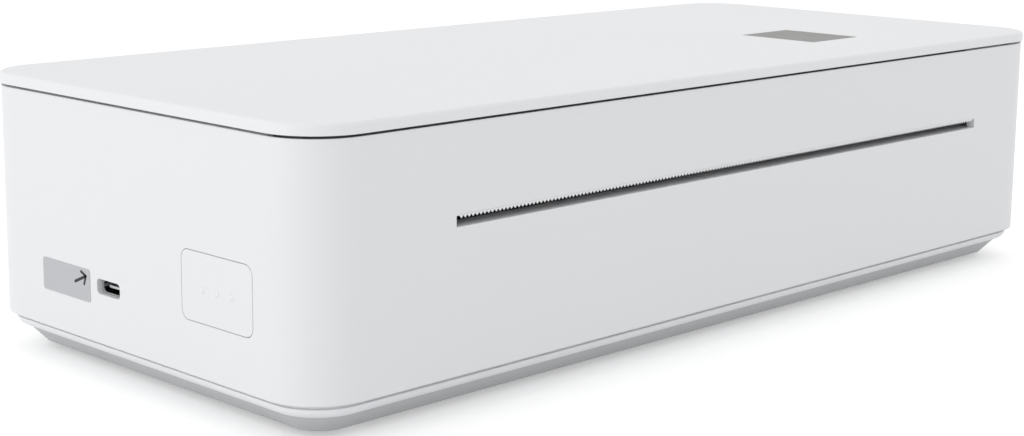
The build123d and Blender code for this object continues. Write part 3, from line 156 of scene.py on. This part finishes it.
# ---- shader nodes ----
def new_finish(name):
    """A material with its tree, its shader and its object coordinates."""
    material = bpy.data.materials.new(name)
    material.use_nodes = True
    tree = material.node_tree
    place = tree.nodes.new("ShaderNodeTexCoord")
    return material, tree, tree.nodes["Principled BSDF"], place.outputs["Object"]


def put(tree, kind, links=None, **values):
    """A node with its plain settings, socket values and links."""
    node = tree.nodes.new(kind)
    for key, value in values.items():
        if hasattr(node, key):
            setattr(node, key, value)
        else:
            node.inputs[key.replace("_", " ")].default_value = value
    for key, source in (links or {}).items():
        tree.links.new(source, node.inputs[key])
    return node


def stretched(tree, place, scale):
    """Coordinates scaled differently along each axis."""
    return put(tree, "ShaderNodeMapping", {"Vector": place}, Scale=scale).outputs["Vector"]


def speckle(tree, place, scale, detail=2.0, roughness=0.5):
    """A noise value."""
    node = put(tree, "ShaderNodeTexNoise", {"Vector": place}, Scale=scale, Detail=detail, Roughness=roughness)
    return node.outputs["Fac"]


def spread(tree, value, low, high, start=0.3, end=0.7):
    """A value moved into a range."""
    node = put(tree, "ShaderNodeMapRange", {"Value": value})
    for key, number in (("From Min", start), ("From Max", end), ("To Min", low), ("To Max", high)):
        node.inputs[key].default_value = number
    return node.outputs["Result"]


def tinted(tree, value, tone, amount):
    """A colour that a value makes slightly lighter or darker."""
    mix = put(tree, "ShaderNodeMix", data_type="RGBA")
    tree.links.new(value, mix.inputs[0])
    mix.inputs[6].default_value = (*[c * (1 - amount) for c in tone], 1)
    mix.inputs[7].default_value = (*[min(1.0, c * (1 + amount)) for c in tone], 1)
    return mix.outputs[2]


def relief(tree, heights, edge=0.0):
    """A normal from several (value, depth) pairs over softened edges."""
    normal = None
    if edge:
        normal = put(tree, "ShaderNodeBevel", samples=4, Radius=edge).outputs["Normal"]
    for value, depth in heights:
        bump = put(tree, "ShaderNodeBump", {"Height": value}, Distance=depth, Strength=1.0)
        if normal:
            tree.links.new(normal, bump.inputs["Normal"])
        normal = bump.outputs["Normal"]
    return normal


def moulded(name, tone, roughness=0.42, grain=0.00035, depth=0.000006, edge=0.0002, sheen=0.5):
    """Satin moulding: fine grain, soft waviness, slight changes of tone and gloss."""
    material, tree, shader, place = new_finish(name)
    fine = speckle(tree, place, 1 / grain, 3.0, 0.6)
    broad = speckle(tree, place, 14.0, 2.0)
    wave = speckle(tree, place, 60.0, 1.0)
    tree.links.new(tinted(tree, broad, tone, 0.012), shader.inputs["Base Color"])
    patchy = put(tree, "ShaderNodeMath", {0: fine, 1: broad}, operation="MULTIPLY").outputs[0]
    gloss = spread(tree, patchy, roughness - 0.05, roughness + 0.06, 0.1, 0.45)
    tree.links.new(gloss, shader.inputs["Roughness"])
    tree.links.new(relief(tree, [(wave, depth * 1.5), (fine, depth)], edge), shader.inputs["Normal"])
    shader.inputs["Specular IOR Level"].default_value = sheen
    return material


def drawn_metal(name, tone, roughness=0.3, streak=(3000.0, 40.0, 40.0), depth=0.000002, spangle=0.0):
    """Rolled, brushed or plated metal with fine lines one way."""
    material, tree, shader, place = new_finish(name)
    lines = speckle(tree, stretched(tree, place, streak), 1.0, 4.0, 0.65)
    cloud = speckle(tree, place, 90.0, 2.0)
    value = lines
    if spangle:
        cells = put(tree, "ShaderNodeTexVoronoi", {"Vector": place}, Scale=1 / spangle).outputs["Color"]
        value = put(tree, "ShaderNodeMix", {2: lines, 3: cells}, data_type="FLOAT", Factor=0.5).outputs[0]
    tree.links.new(tinted(tree, value, tone, 0.1), shader.inputs["Base Color"])
    tree.links.new(spread(tree, cloud, roughness - 0.06, roughness + 0.08), shader.inputs["Roughness"])
    tree.links.new(relief(tree, [(lines, depth)], 0.00012), shader.inputs["Normal"])
    shader.inputs["Metallic"].default_value = 1.0
    return material


def socket_metal(name, tone, node):
    """Bright rim and tongue of a socket; further in, the metal is painted near black as painted shade of the
    recess.
    """
    material, tree, shader, place = new_finish(name)
    low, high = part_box(node)
    middle = (low.z + high.z) / 2
    axes = put(tree, "ShaderNodeSeparateXYZ", {"Vector": place})
    depth = put(tree, "ShaderNodeMath", {0: axes.outputs["X"]}, operation="SUBTRACT")
    depth.inputs[1].default_value = low.x
    height = put(tree, "ShaderNodeMath", {0: axes.outputs["Z"]}, operation="SUBTRACT")
    height.inputs[1].default_value = middle
    height = put(tree, "ShaderNodeMath", {0: height.outputs[0]}, operation="ABSOLUTE")
    rim = spread(tree, depth.outputs[0], 1.0, 0.0, 0.0001, 0.0004)
    tongue = spread(tree, height.outputs[0], 1.0, 0.0, 0.00036, 0.00042)
    unshaded_mask = put(tree, "ShaderNodeMath", {0: rim, 1: tongue}, operation="MAXIMUM").outputs[0]
    lines = speckle(tree, stretched(tree, place, (900.0, 200.0, 200.0)), 1.0, 4.0, 0.65)
    # painted shade: away from the rim and the tongue, the socket's metal turns near black
    mix = put(tree, "ShaderNodeMix", {0: unshaded_mask, 7: tinted(tree, lines, tone, 0.1)}, data_type="RGBA")
    mix.inputs[6].default_value = (0.01, 0.01, 0.011, 1)
    tree.links.new(mix.outputs[2], shader.inputs["Base Color"])
    tree.links.new(spread(tree, lines, 0.3, 0.42), shader.inputs["Roughness"])
    tree.links.new(relief(tree, [(lines, 0.000002)], 0.00008), shader.inputs["Normal"])
    shader.inputs["Metallic"].default_value = 0.6
    return material


def ground_rubber(name, tone, streak=(400.0, 9000.0, 9000.0)):
    """Ground rubber: fine lines round the roller and a dry, dusty sheen."""
    material, tree, shader, place = new_finish(name)
    lines = speckle(tree, stretched(tree, place, streak), 1.0, 3.0, 0.7)
    dust = speckle(tree, place, 700.0, 4.0, 0.7)
    tree.links.new(tinted(tree, dust, tone, 0.35), shader.inputs["Base Color"])
    tree.links.new(spread(tree, dust, 0.62, 0.85), shader.inputs["Roughness"])
    tree.links.new(relief(tree, [(lines, 0.00001)], 0.0001), shader.inputs["Normal"])
    shader.inputs["Sheen Weight"].default_value = 0.15
    return material


def smoked_plate(name, tone):
    """Smooth smoked plate with a satin face."""
    material, tree, shader, place = new_finish(name)
    film = speckle(tree, place, 160.0, 3.0)
    swirl = speckle(tree, stretched(tree, place, (30.0, 300.0, 30.0)), 1.0, 3.0)
    tree.links.new(tinted(tree, film, tone, 0.05), shader.inputs["Base Color"])
    tree.links.new(spread(tree, film, 0.46, 0.56), shader.inputs["Roughness"])
    tree.links.new(relief(tree, [(swirl, 0.000003)], 0.00015), shader.inputs["Normal"])
    shader.inputs["Specular IOR Level"].default_value = 0.2
    return material


def foil(name, tone):
    """Brushed foil sticker with a clear top film."""
    material, tree, shader, place = new_finish(name)
    lines = speckle(tree, stretched(tree, place, (100.0, 250.0, 6000.0)), 1.0, 4.0, 0.7)
    ripple = speckle(tree, place, 500.0, 1.0)
    tree.links.new(tinted(tree, lines, tone, 0.08), shader.inputs["Base Color"])
    tree.links.new(spread(tree, lines, 0.34, 0.46), shader.inputs["Roughness"])
    tree.links.new(relief(tree, [(ripple, 0.00001), (lines, 0.000002)], 0.00008), shader.inputs["Normal"])
    shader.inputs["Metallic"].default_value = 0.55
    return material


def printed_board(name, tone):
    """Solder mask with copper tracks that show through it."""
    material, tree, shader, place = new_finish(name)
    upright = put(tree, "ShaderNodeTexWave", {"Vector": place}, wave_type="BANDS", bands_direction="Z",
                  Scale=260.0, Distortion=0.0).outputs["Fac"]
    across = put(tree, "ShaderNodeTexWave", {"Vector": place}, wave_type="BANDS", bands_direction="Y",
                 Scale=220.0, Distortion=0.0).outputs["Fac"]
    zones = put(tree, "ShaderNodeTexVoronoi", {"Vector": place}, distance="CHEBYCHEV", Scale=120.0)
    zone = zones.outputs["Color"]
    picked = put(tree, "ShaderNodeMix", {0: spread(tree, zone, 0.0, 1.0, 0.45, 0.55), 2: upright, 3: across},
                 data_type="FLOAT").outputs[0]
    tracks = spread(tree, picked, 0.0, 1.0, 0.62, 0.7)
    mix = put(tree, "ShaderNodeMix", {0: tracks}, data_type="RGBA")
    mix.inputs[6].default_value = (*tone, 1)
    mix.inputs[7].default_value = (*[min(1.0, c * 2.1 + 0.02) for c in tone], 1)
    tree.links.new(mix.outputs[2], shader.inputs["Base Color"])
    tree.links.new(spread(tree, tracks, 0.28, 0.36, 0.0, 1.0), shader.inputs["Roughness"])
    tree.links.new(relief(tree, [(tracks, 0.00003)], 0.0), shader.inputs["Normal"])
    return material


def glazed(name, tone):
    """Glazed ceramic with a fine cloudy body."""
    material, tree, shader, place = new_finish(name)
    cloud = speckle(tree, place, 400.0, 4.0)
    tree.links.new(tinted(tree, cloud, tone, 0.12), shader.inputs["Base Color"])
    tree.links.new(spread(tree, cloud, 0.1, 0.18), shader.inputs["Roughness"])
    tree.links.new(relief(tree, [(cloud, 0.000002)], 0.0001), shader.inputs["Normal"])
    shader.inputs["Coat Weight"].default_value = 0.6
    return material


def frosted(name, tone):
    """Frosted clear plastic."""
    material, tree, shader, place = new_finish(name)
    cloud = speckle(tree, place, 2500.0, 2.0)
    tree.links.new(tinted(tree, cloud, tone, 0.05), shader.inputs["Base Color"])
    tree.links.new(spread(tree, cloud, 0.3, 0.45), shader.inputs["Roughness"])
    shader.inputs["Subsurface Weight"].default_value = 0.3
    shader.inputs["Subsurface Radius"].default_value = (0.0006, 0.0006, 0.0006)
    shader.inputs["IOR"].default_value = 1.49
    return material


def shrink_film(name, tone):
    """Shiny film stretched over the cells, with small puckers."""
    material, tree, shader, place = new_finish(name)
    pucker = speckle(tree, stretched(tree, place, (120.0, 500.0, 500.0)), 1.0, 2.0)
    tree.links.new(tinted(tree, pucker, tone, 0.1), shader.inputs["Base Color"])
    tree.links.new(spread(tree, pucker, 0.2, 0.32), shader.inputs["Roughness"])
    tree.links.new(relief(tree, [(pucker, 0.00004)], 0.0), shader.inputs["Normal"])
    return material


# ---- mesh helpers ----
def add_piece(name, bm, body, material, smooth=True):
    """A new mesh object that rides on a body."""
    mesh = bpy.data.meshes.new(name)
    bmesh.ops.recalc_face_normals(bm, faces=bm.faces)
    bm.to_mesh(mesh)
    bm.free()
    if not mesh.polygons:
        raise RuntimeError(f"{name} has no faces")
    for face in mesh.polygons:
        face.use_smooth = smooth
    piece = bpy.data.objects.new(name, mesh)
    bpy.context.scene.collection.objects.link(piece)
    mesh.materials.append(material)
    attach(piece, body)
    return piece


def ring(bm, centre, across, up, radius, sides):
    """Vertices of a circle in the plane of two directions."""
    turns = [2 * math.pi * n / sides for n in range(sides)]
    return [bm.verts.new(centre + across * (radius * math.cos(a)) + up * (radius * math.sin(a)))
            for a in turns]


def tube(bm, path, radius, sides=12):
    """A round tube along a list of points, closed at both ends."""
    rings = []
    for n, point in enumerate(path):
        ahead = (path[min(n + 1, len(path) - 1)] - path[max(n - 1, 0)]).normalized()
        across = ahead.cross(Vector((0, 0, 1)))
        if across.length < 1e-6:
            across = ahead.cross(Vector((0, 1, 0)))
        across.normalize()
        rings.append(ring(bm, point, across, ahead.cross(across), radius, sides))
    for near, far in zip(rings, rings[1:]):
        for n in range(sides):
            m = (n + 1) % sides
            bm.faces.new((near[n], near[m], far[m], far[n]))
    bm.faces.new(rings[0])
    bm.faces.new(list(reversed(rings[-1])))


def prism(bm, outline, offset):
    """A flat shape given by its corners, thickened along an offset."""
    low = [bm.verts.new(p) for p in outline]
    high = [bm.verts.new(p + offset) for p in outline]
    bm.faces.new(low)
    bm.faces.new(list(reversed(high)))
    for n in range(len(outline)):
        m = (n + 1) % len(outline)
        bm.faces.new((low[n], high[n], high[m], low[m]))


def slab(bm, low, high):
    """A block between two corners."""
    (x0, y0, z0), (x1, y1, z1) = low, high
    end = [Vector((x0, y, z)) for y, z in ((y0, z0), (y1, z0), (y1, z1), (y0, z1))]
    prism(bm, end, Vector((x1 - x0, 0, 0)))


def stroke(bm, start, end, width):
    """A thin printed stroke with round ends, on a face that looks along -X."""
    along = (end - start).normalized()
    side = Vector((0, -along.z, along.y))
    outline = []
    for place, turn in ((end, -0.5), (start, 0.5)):
        for n in range(STROKE_STEPS + 1):
            angle = math.pi * (turn + n / STROKE_STEPS)
            outline.append(place + (along * math.cos(angle) + side * math.sin(angle)) * (width / 2))
    prism(bm, [p + Vector((PRINT_RELIEF, 0, 0)) for p in outline], Vector((-2 * PRINT_RELIEF, 0, 0)))


def dress(material, *names):
    """Gives a material to CAD nodes."""
    for name in names:
        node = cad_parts[name]
        node.data.materials.clear()
        node.data.materials.append(material)


# ---- operators ----
class PrinterStep(bpy.types.Operator):
    """Common ground of the printer's steps."""

    bl_options = {"REGISTER", "UNDO"}


class PRINTER_OT_casing(PrinterStep):
    """Finishes the casing, the band, the lid, the tear bar and the button"""

    bl_idname = "printer.casing"
    bl_label = "Casing"

    def execute(self, context):
        look = context.scene.printer_finishes
        shell = moulded("casing_white", look.casing, 0.44, look.grain, CASING_DEPTH, look.edge)
        dress(shell, "body_shell", "button_cap")
        # painted highlight: the exit lip takes the teeth's white, which is lighter than the casing's
        dress(moulded("lip_white", look.teeth, 0.36, look.grain, 0.000004, look.edge), "exit_lip")
        # painted light: the band takes a white lighter than the casing's, to lift its shade
        dress(moulded("band_white", look.band, 0.44, look.grain, CASING_DEPTH, look.edge), "skirt_band")
        # painted light: the lid takes a white lighter than the casing's, standing in for light on its top
        dress(moulded("lid_white", look.lid, 0.4, look.grain, 0.000005, look.edge), "lid_panel")
        return {"FINISHED"}


class PRINTER_OT_teeth(PrinterStep):
    """Cuts the fine teeth of the tear bar"""

    bl_idname = "printer.teeth"
    bl_label = "Tear teeth"

    def execute(self, context):
        look = context.scene.printer_finishes
        sizes = context.scene.printer_sizes
        low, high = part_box("tear_bar")
        first, last = low.x + sizes.bar_end, high.x - sizes.bar_end
        count = int((last - first) / sizes.tooth_pitch) - 1
        start = (first + last - count * sizes.tooth_pitch) / 2
        root = low.z + sizes.tooth_height - sizes.tooth_sunk
        top = root + sizes.tooth_strip
        bm = bmesh.new()
        for n in range(count):
            x = start + n * sizes.tooth_pitch
            tip = (x + sizes.tooth_pitch / 2, root - sizes.tooth_height)
            tooth = ((x, root), tip, (x + sizes.tooth_pitch, root))
            prism(bm, [Vector((a, low.y, z)) for a, z in tooth], Vector((0, sizes.tooth_depth, 0)))
        slab(bm, (first, low.y, root), (last, high.y, top))
        slab(bm, (low.x, high.y - sizes.bar_depth, top), (high.x, high.y, high.z))
        # painted highlight: the teeth take a white lighter than the casing's, standing in for light on them
        white = moulded("tear_bar_white", look.teeth, 0.36, look.grain, 0.000003, 0.00004)
        piece = add_piece("tear_teeth", bm, "casing", white, smooth=False)
        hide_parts("tear_bar")
        return {"FINISHED"}


class PRINTER_OT_base(PrinterStep):
    """Finishes the sloped base, its feet and its screws"""

    bl_idname = "printer.base"
    bl_label = "Base"

    def execute(self, context):
        look = context.scene.printer_finishes
        dress(moulded("base_grey", look.base, 0.48, look.grain, 0.000007, look.edge), "base_tray")
        dress(ground_rubber("foot_rubber", [c * 2.0 for c in look.rubber], (2500.0, 2500.0, 2500.0)), "feet")
        dress(drawn_metal("screw_steel", look.steel, 0.32, (60.0, 60.0, 900.0)), "case_screws",
              "deck_screws", "head_screws")
        return {"FINISHED"}


class PRINTER_OT_plate(PrinterStep):
    """Finishes the flush plate in the lid"""

    bl_idname = "printer.plate"
    bl_label = "Lid plate"

    def execute(self, context):
        dress(smoked_plate("lid_plate_grey", context.scene.printer_finishes.plate), "lid_window")
        return {"FINISHED"}


class PRINTER_OT_bay(PrinterStep):
    """Finishes the roll bay, the guides, the liner of the lid and the catches"""

    bl_idname = "printer.bay"
    bl_label = "Roll bay"

    def execute(self, context):
        look = context.scene.printer_finishes
        dress(moulded("bay_grey", look.liner, 0.5, look.grain * 1.4, 0.00001, look.edge),
              "inner_tub", "lid_liner")
        dress(moulded("guide_grey", [c * 1.5 for c in look.liner], 0.42, look.grain, 0.000007, look.edge),
              "paper_guide_left", "paper_guide_right")
        dress(moulded("sensor_black", look.rubber, 0.3, look.grain, FINE_DEPTH, FINE_EDGE), "paper_sensor")
        dress(drawn_metal("magnet_nickel", look.steel, 0.18, (300.0, 300.0, 300.0)), "lid_magnets")
        dress(drawn_metal("catch_steel", look.steel, 0.28, (2000.0, 60.0, 60.0)),
              "strike_plates", "hinge_pins")
        return {"FINISHED"}


class PRINTER_OT_drive(PrinterStep):
    """Finishes the platen, its gears, the motor and the side plates"""

    bl_idname = "printer.drive"
    bl_label = "Platen and drive"

    def execute(self, context):
        look = context.scene.printer_finishes
        dress(ground_rubber("platen_black", look.rubber), "platen_rubber")
        turned = drawn_metal("turned_steel", look.steel, 0.22, (5000.0, 60.0, 60.0))
        dress(turned, "platen_shaft", "idler_post", "motor_shaft")
        dress(moulded("bush_black", look.rubber, 0.35, look.grain, FINE_DEPTH, FINE_EDGE), "platen_bushes")
        dress(moulded("gear_acetal", look.acetal, 0.34, 0.0006, 0.000003, 0.00008),
              "platen_gear", "idler_gear", "motor_pinion", "guide_pinion")
        plated = drawn_metal("plated_steel", look.steel, 0.34, (60.0, 900.0, 60.0), 0.000002, 0.002)
        dress(plated, "side_plate_left", "side_plate_right", "motor_bracket")
        dress(drawn_metal("motor_can", [c * 0.85 for c in look.steel], 0.3, (60.0, 1500.0, 1500.0)), "motor")
        return {"FINISHED"}


class PRINTER_OT_head(PrinterStep):
    """Finishes the print head and adds its heater line"""

    bl_idname = "printer.head"
    bl_label = "Print head"

    def execute(self, context):
        look = context.scene.printer_finishes
        sizes = context.scene.printer_sizes
        dress(glazed("heater_glaze", look.glaze), "head_ceramic")
        dress(drawn_metal("sink_aluminium", look.aluminium, 0.3, (40.0, 2500.0, 2500.0)), "head_heatsink")
        plated = drawn_metal("channel_steel", look.steel, 0.3, (60.0, 1500.0, 60.0), 0.000002, 0.0022)
        dress(plated, "head_bracket")
        low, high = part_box("head_ceramic")
        middle = (low.y + high.y) / 2
        bm = bmesh.new()
        half = sizes.heater / 2
        rows = []
        for n in range(HEATER_STEPS + 1):
            angle = math.pi * n / HEATER_STEPS
            rise = low.z + HEATER_SUNK - 2 * HEATER_SUNK * math.sin(angle)
            rows.append((middle - half * math.cos(angle), rise))
        outline = [Vector((low.x + HEATER_END, y, z)) for y, z in rows]
        prism(bm, outline, Vector((high.x - low.x - 2 * HEATER_END, 0, 0)))
        add_piece("heater_line", bm, "print_head", glazed("heater_bead", look.heater))
        return {"FINISHED"}


class PRINTER_OT_springs(PrinterStep):
    """Winds the springs behind the print head"""

    bl_idname = "printer.springs"
    bl_label = "Springs"

    def execute(self, context):
        sizes = context.scene.printer_sizes
        low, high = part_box("head_springs")
        middle = (low.y + high.y) / 2
        reach = sizes.coil + sizes.wire
        first, last = low.x + reach, high.x - reach
        bm = bmesh.new()
        steps = int(sizes.turns * TURN_STEPS)
        for n in range(sizes.springs):
            x = first + (last - first) * n / (sizes.springs - 1)
            path = []
            for k in range(steps + 1):
                part = k / steps
                angle = 2 * math.pi * sizes.turns * part
                rise = part - CLOSED_ENDS * math.sin(2 * math.pi * part)
                z = low.z + sizes.wire + (high.z - low.z - 2 * sizes.wire) * rise
                out, side = sizes.coil * math.cos(angle), sizes.coil * math.sin(angle)
                path.append(Vector((x + out, middle + side, z)))
            tube(bm, path, sizes.wire, 10)
        wire = drawn_metal("spring_wire", context.scene.printer_finishes.steel, 0.25, (900.0, 900.0, 200.0))
        piece = add_piece("head_spring_coils", bm, "lid", wire)
        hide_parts("head_springs")
        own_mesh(piece)
        return {"FINISHED"}


class PRINTER_OT_electronics(PrinterStep):
    """Finishes the board, the socket, the switch, the light pipes and the battery"""

    bl_idname = "printer.electronics"
    bl_label = "Electronics"

    def execute(self, context):
        look = context.scene.printer_finishes
        dress(printed_board("board_mask", look.board), "main_board")
        dress(socket_metal("socket_steel", look.steel, "usb_connector"), "usb_connector")
        black = moulded("switch_black", look.rubber, 0.4, look.grain, FINE_DEPTH, FINE_EDGE)
        dress(black, "tact_switch", "switch_plunger")
        dress(frosted("light_pipe", look.casing), "led_pipes")
        dress(shrink_film("cell_film", look.film), "battery_cells")
        dress(moulded("cradle_black", look.rubber, 0.5, look.grain, 0.000006, look.edge), "battery_cradle")
        return {"FINISHED"}


class PRINTER_OT_label(PrinterStep):
    """Finishes the bare sticker and prints a plain arrow on it"""

    bl_idname = "printer.label"
    bl_label = "Label"

    def execute(self, context):
        look = context.scene.printer_finishes
        sizes = context.scene.printer_sizes
        dress(foil("label_foil", look.label), "port_label")
        low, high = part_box("port_label")
        tip = Vector((low.x, low.y + 0.33 * sizes.arrow, high.z - 0.35 * sizes.arrow))
        ink = moulded("label_ink", look.ink, 0.5, 0.0002, 0.000001, 0.0)
        bm = bmesh.new()
        for turn, part in ((0, 1.0), (math.pi / 4, 0.43), (-math.pi / 4, 0.43)):
            angle = turn - sizes.arrow_rise
            back = Vector((0, math.cos(angle), math.sin(angle)))
            stroke(bm, tip, tip + back * (part * sizes.arrow), 0.145 * sizes.arrow)
        add_piece("label_arrow", bm, "casing", ink, smooth=False)
        return {"FINISHED"}


def add_lamp(name, place, size, power):
    """A large soft lamp that points at the printer."""
    data = bpy.data.lights.new(name, "AREA")
    data.shape = "RECTANGLE"
    data.size, data.size_y = size
    data.energy = power
    lamp = bpy.data.objects.new(name, data)
    lamp.location = place
    bpy.context.scene.collection.objects.link(lamp)
    lamp.rotation_euler = (Vector(LAMP_SPOT) - lamp.location).to_track_quat("-Z", "Y").to_euler()


def seen_ray(tree):
    """1 for a ray that the camera, a mirror or clear glass sends, 0 for any other."""
    path = tree.nodes.new("ShaderNodeLightPath")
    either = put(tree, "ShaderNodeMath", {0: path.outputs["Is Camera Ray"], 1: path.outputs["Is Glossy Ray"]},
                 operation="MAXIMUM").outputs[0]
    return put(tree, "ShaderNodeMath", {0: either, 1: path.outputs["Is Transmission Ray"]},
               operation="MAXIMUM").outputs[0]


class PRINTER_OT_stage(PrinterStep):
    """Lays the pale floor and sets the lamps and the camera"""

    bl_idname = "printer.stage"
    bl_label = "Stage"

    def execute(self, context):
        scene = context.scene
        stage = scene.printer_stage
        bm = bmesh.new()
        rim = ring(bm, Vector((0, 0, -FLOOR_DROP)), Vector((1, 0, 0)), Vector((0, 1, 0)), stage.floor, 96)
        bm.faces.new(rim)
        mesh = bpy.data.meshes.new("floor")
        bm.to_mesh(mesh)
        bm.free()
        floor = bpy.data.objects.new("floor", mesh)
        scene.collection.objects.link(floor)
        mesh.materials.append(self.floor_finish(stage))
        self.light_air(scene, stage)
        add_lamp("side_lamp", SIDE_PLACE, SIDE_SIZE, stage.side_lamp)
        add_lamp("low_lamp", LOW_PLACE, LOW_SIZE, stage.low_lamp)
        self.place_camera(scene)
        scene.view_settings.view_transform = "Standard"
        return {"FINISHED"}

    def floor_finish(self, stage):
        """A pale matt floor that fades to white where nothing shades it."""
        material = bpy.data.materials.new("floor_pale")
        material.use_nodes = True
        tree = material.node_tree
        tree.nodes.clear()
        matt = put(tree, "ShaderNodeBsdfDiffuse", Color=(*[stage.floor_tone] * 3, 1))
        glow = put(tree, "ShaderNodeEmission", Color=(1, 1, 1, 1))
        strength = put(tree, "ShaderNodeMath", {0: seen_ray(tree)}, operation="MULTIPLY")
        strength.inputs[1].default_value = stage.lift
        tree.links.new(strength.outputs[0], glow.inputs["Strength"])
        both = put(tree, "ShaderNodeAddShader", {0: matt.outputs[0], 1: glow.outputs[0]})
        put(tree, "ShaderNodeOutputMaterial", {"Surface": both.outputs[0]})
        return material

    def light_air(self, scene, stage):
        """Even light from all round, white where it is seen."""
        world = bpy.data.worlds.new("air")
        scene.world = world
        world.use_nodes = True
        tree = world.node_tree
        tree.nodes.clear()
        soft = put(tree, "ShaderNodeBackground", Color=(1, 1, 1, 1), Strength=stage.air)
        white = put(tree, "ShaderNodeBackground", Color=(1, 1, 1, 1), Strength=1.0)
        mix = put(tree, "ShaderNodeMixShader", {0: seen_ray(tree), 1: soft.outputs[0], 2: white.outputs[0]})
        put(tree, "ShaderNodeOutputWorld", {"Surface": mix.outputs[0]})

    def place_camera(self, scene):
        """A camera in front of the left corner, a little above the lid."""
        focal, centre_u, centre_v = 1909.37, 490.0, 180.0
        yaw, pitch, roll = 0.78018, 0.1827, -0.00701
        ahead = Vector((math.sin(yaw) * math.cos(pitch), math.cos(yaw) * math.cos(pitch), -math.sin(pitch)))
        right = ahead.cross(Vector((0, 0, 1))).normalized()
        down = ahead.cross(right)
        right, down = (right * math.cos(roll) + down * math.sin(roll),
                       down * math.cos(roll) - right * math.sin(roll))
        data = bpy.data.cameras.new("camera")
        data.sensor_width = 36.0
        data.lens = focal * data.sensor_width / PICTURE[0]
        data.shift_x = (PICTURE[0] / 2 - centre_u) / PICTURE[0]
        data.shift_y = (centre_v - PICTURE[1] / 2) / PICTURE[0]
        data.clip_start, data.clip_end = 0.01, 50.0
        camera = bpy.data.objects.new("camera", data)
        turn = Matrix((right, -down, -ahead)).transposed()
        camera.matrix_world = Matrix.Translation(CAMERA_PLACE) @ turn.to_4x4()
        scene.collection.objects.link(camera)
        scene.camera = camera


STEPS = (
    PRINTER_OT_casing,
    PRINTER_OT_teeth,
    PRINTER_OT_base,
    PRINTER_OT_plate,
    PRINTER_OT_bay,
    PRINTER_OT_drive,
    PRINTER_OT_head,
    PRINTER_OT_springs,
    PRINTER_OT_electronics,
    PRINTER_OT_label,
    PRINTER_OT_stage,
)


class PRINTER_PT_panel(bpy.types.Panel):
    """Lists the settings and the steps"""

    bl_label = "Printer"
    bl_idname = "PRINTER_PT_panel"
    bl_space_type = "VIEW_3D"
    bl_region_type = "UI"
    bl_category = "Printer"

    def draw(self, context):
        for group in ("printer_finishes", "printer_sizes", "printer_stage"):
            settings = getattr(context.scene, group)
            column = self.layout.column(align=True)
            for key in settings.bl_rna.properties.keys():
                if key not in ("rna_type", "name"):
                    column.prop(settings, key)
        for step in STEPS:
            self.layout.operator(step.bl_idname)


CLASSES = (PrinterFinishes, PrinterSizes, PrinterStage, *STEPS, PRINTER_PT_panel)


def register():
    for item in CLASSES:
        bpy.utils.register_class(item)
    bpy.types.Scene.printer_finishes = PointerProperty(type=PrinterFinishes)
    bpy.types.Scene.printer_sizes = PointerProperty(type=PrinterSizes)
    bpy.types.Scene.printer_stage = PointerProperty(type=PrinterStage)


def unregister():
    del bpy.types.Scene.printer_stage
    del bpy.types.Scene.printer_sizes
    del bpy.types.Scene.printer_finishes
    for item in reversed(CLASSES):
        bpy.utils.unregister_class(item)


def main():
    register()
    for step in STEPS:
        group, name = step.bl_idname.split(".")
        getattr(getattr(bpy.ops, group), name)()


if __name__ == "__main__":
    main()
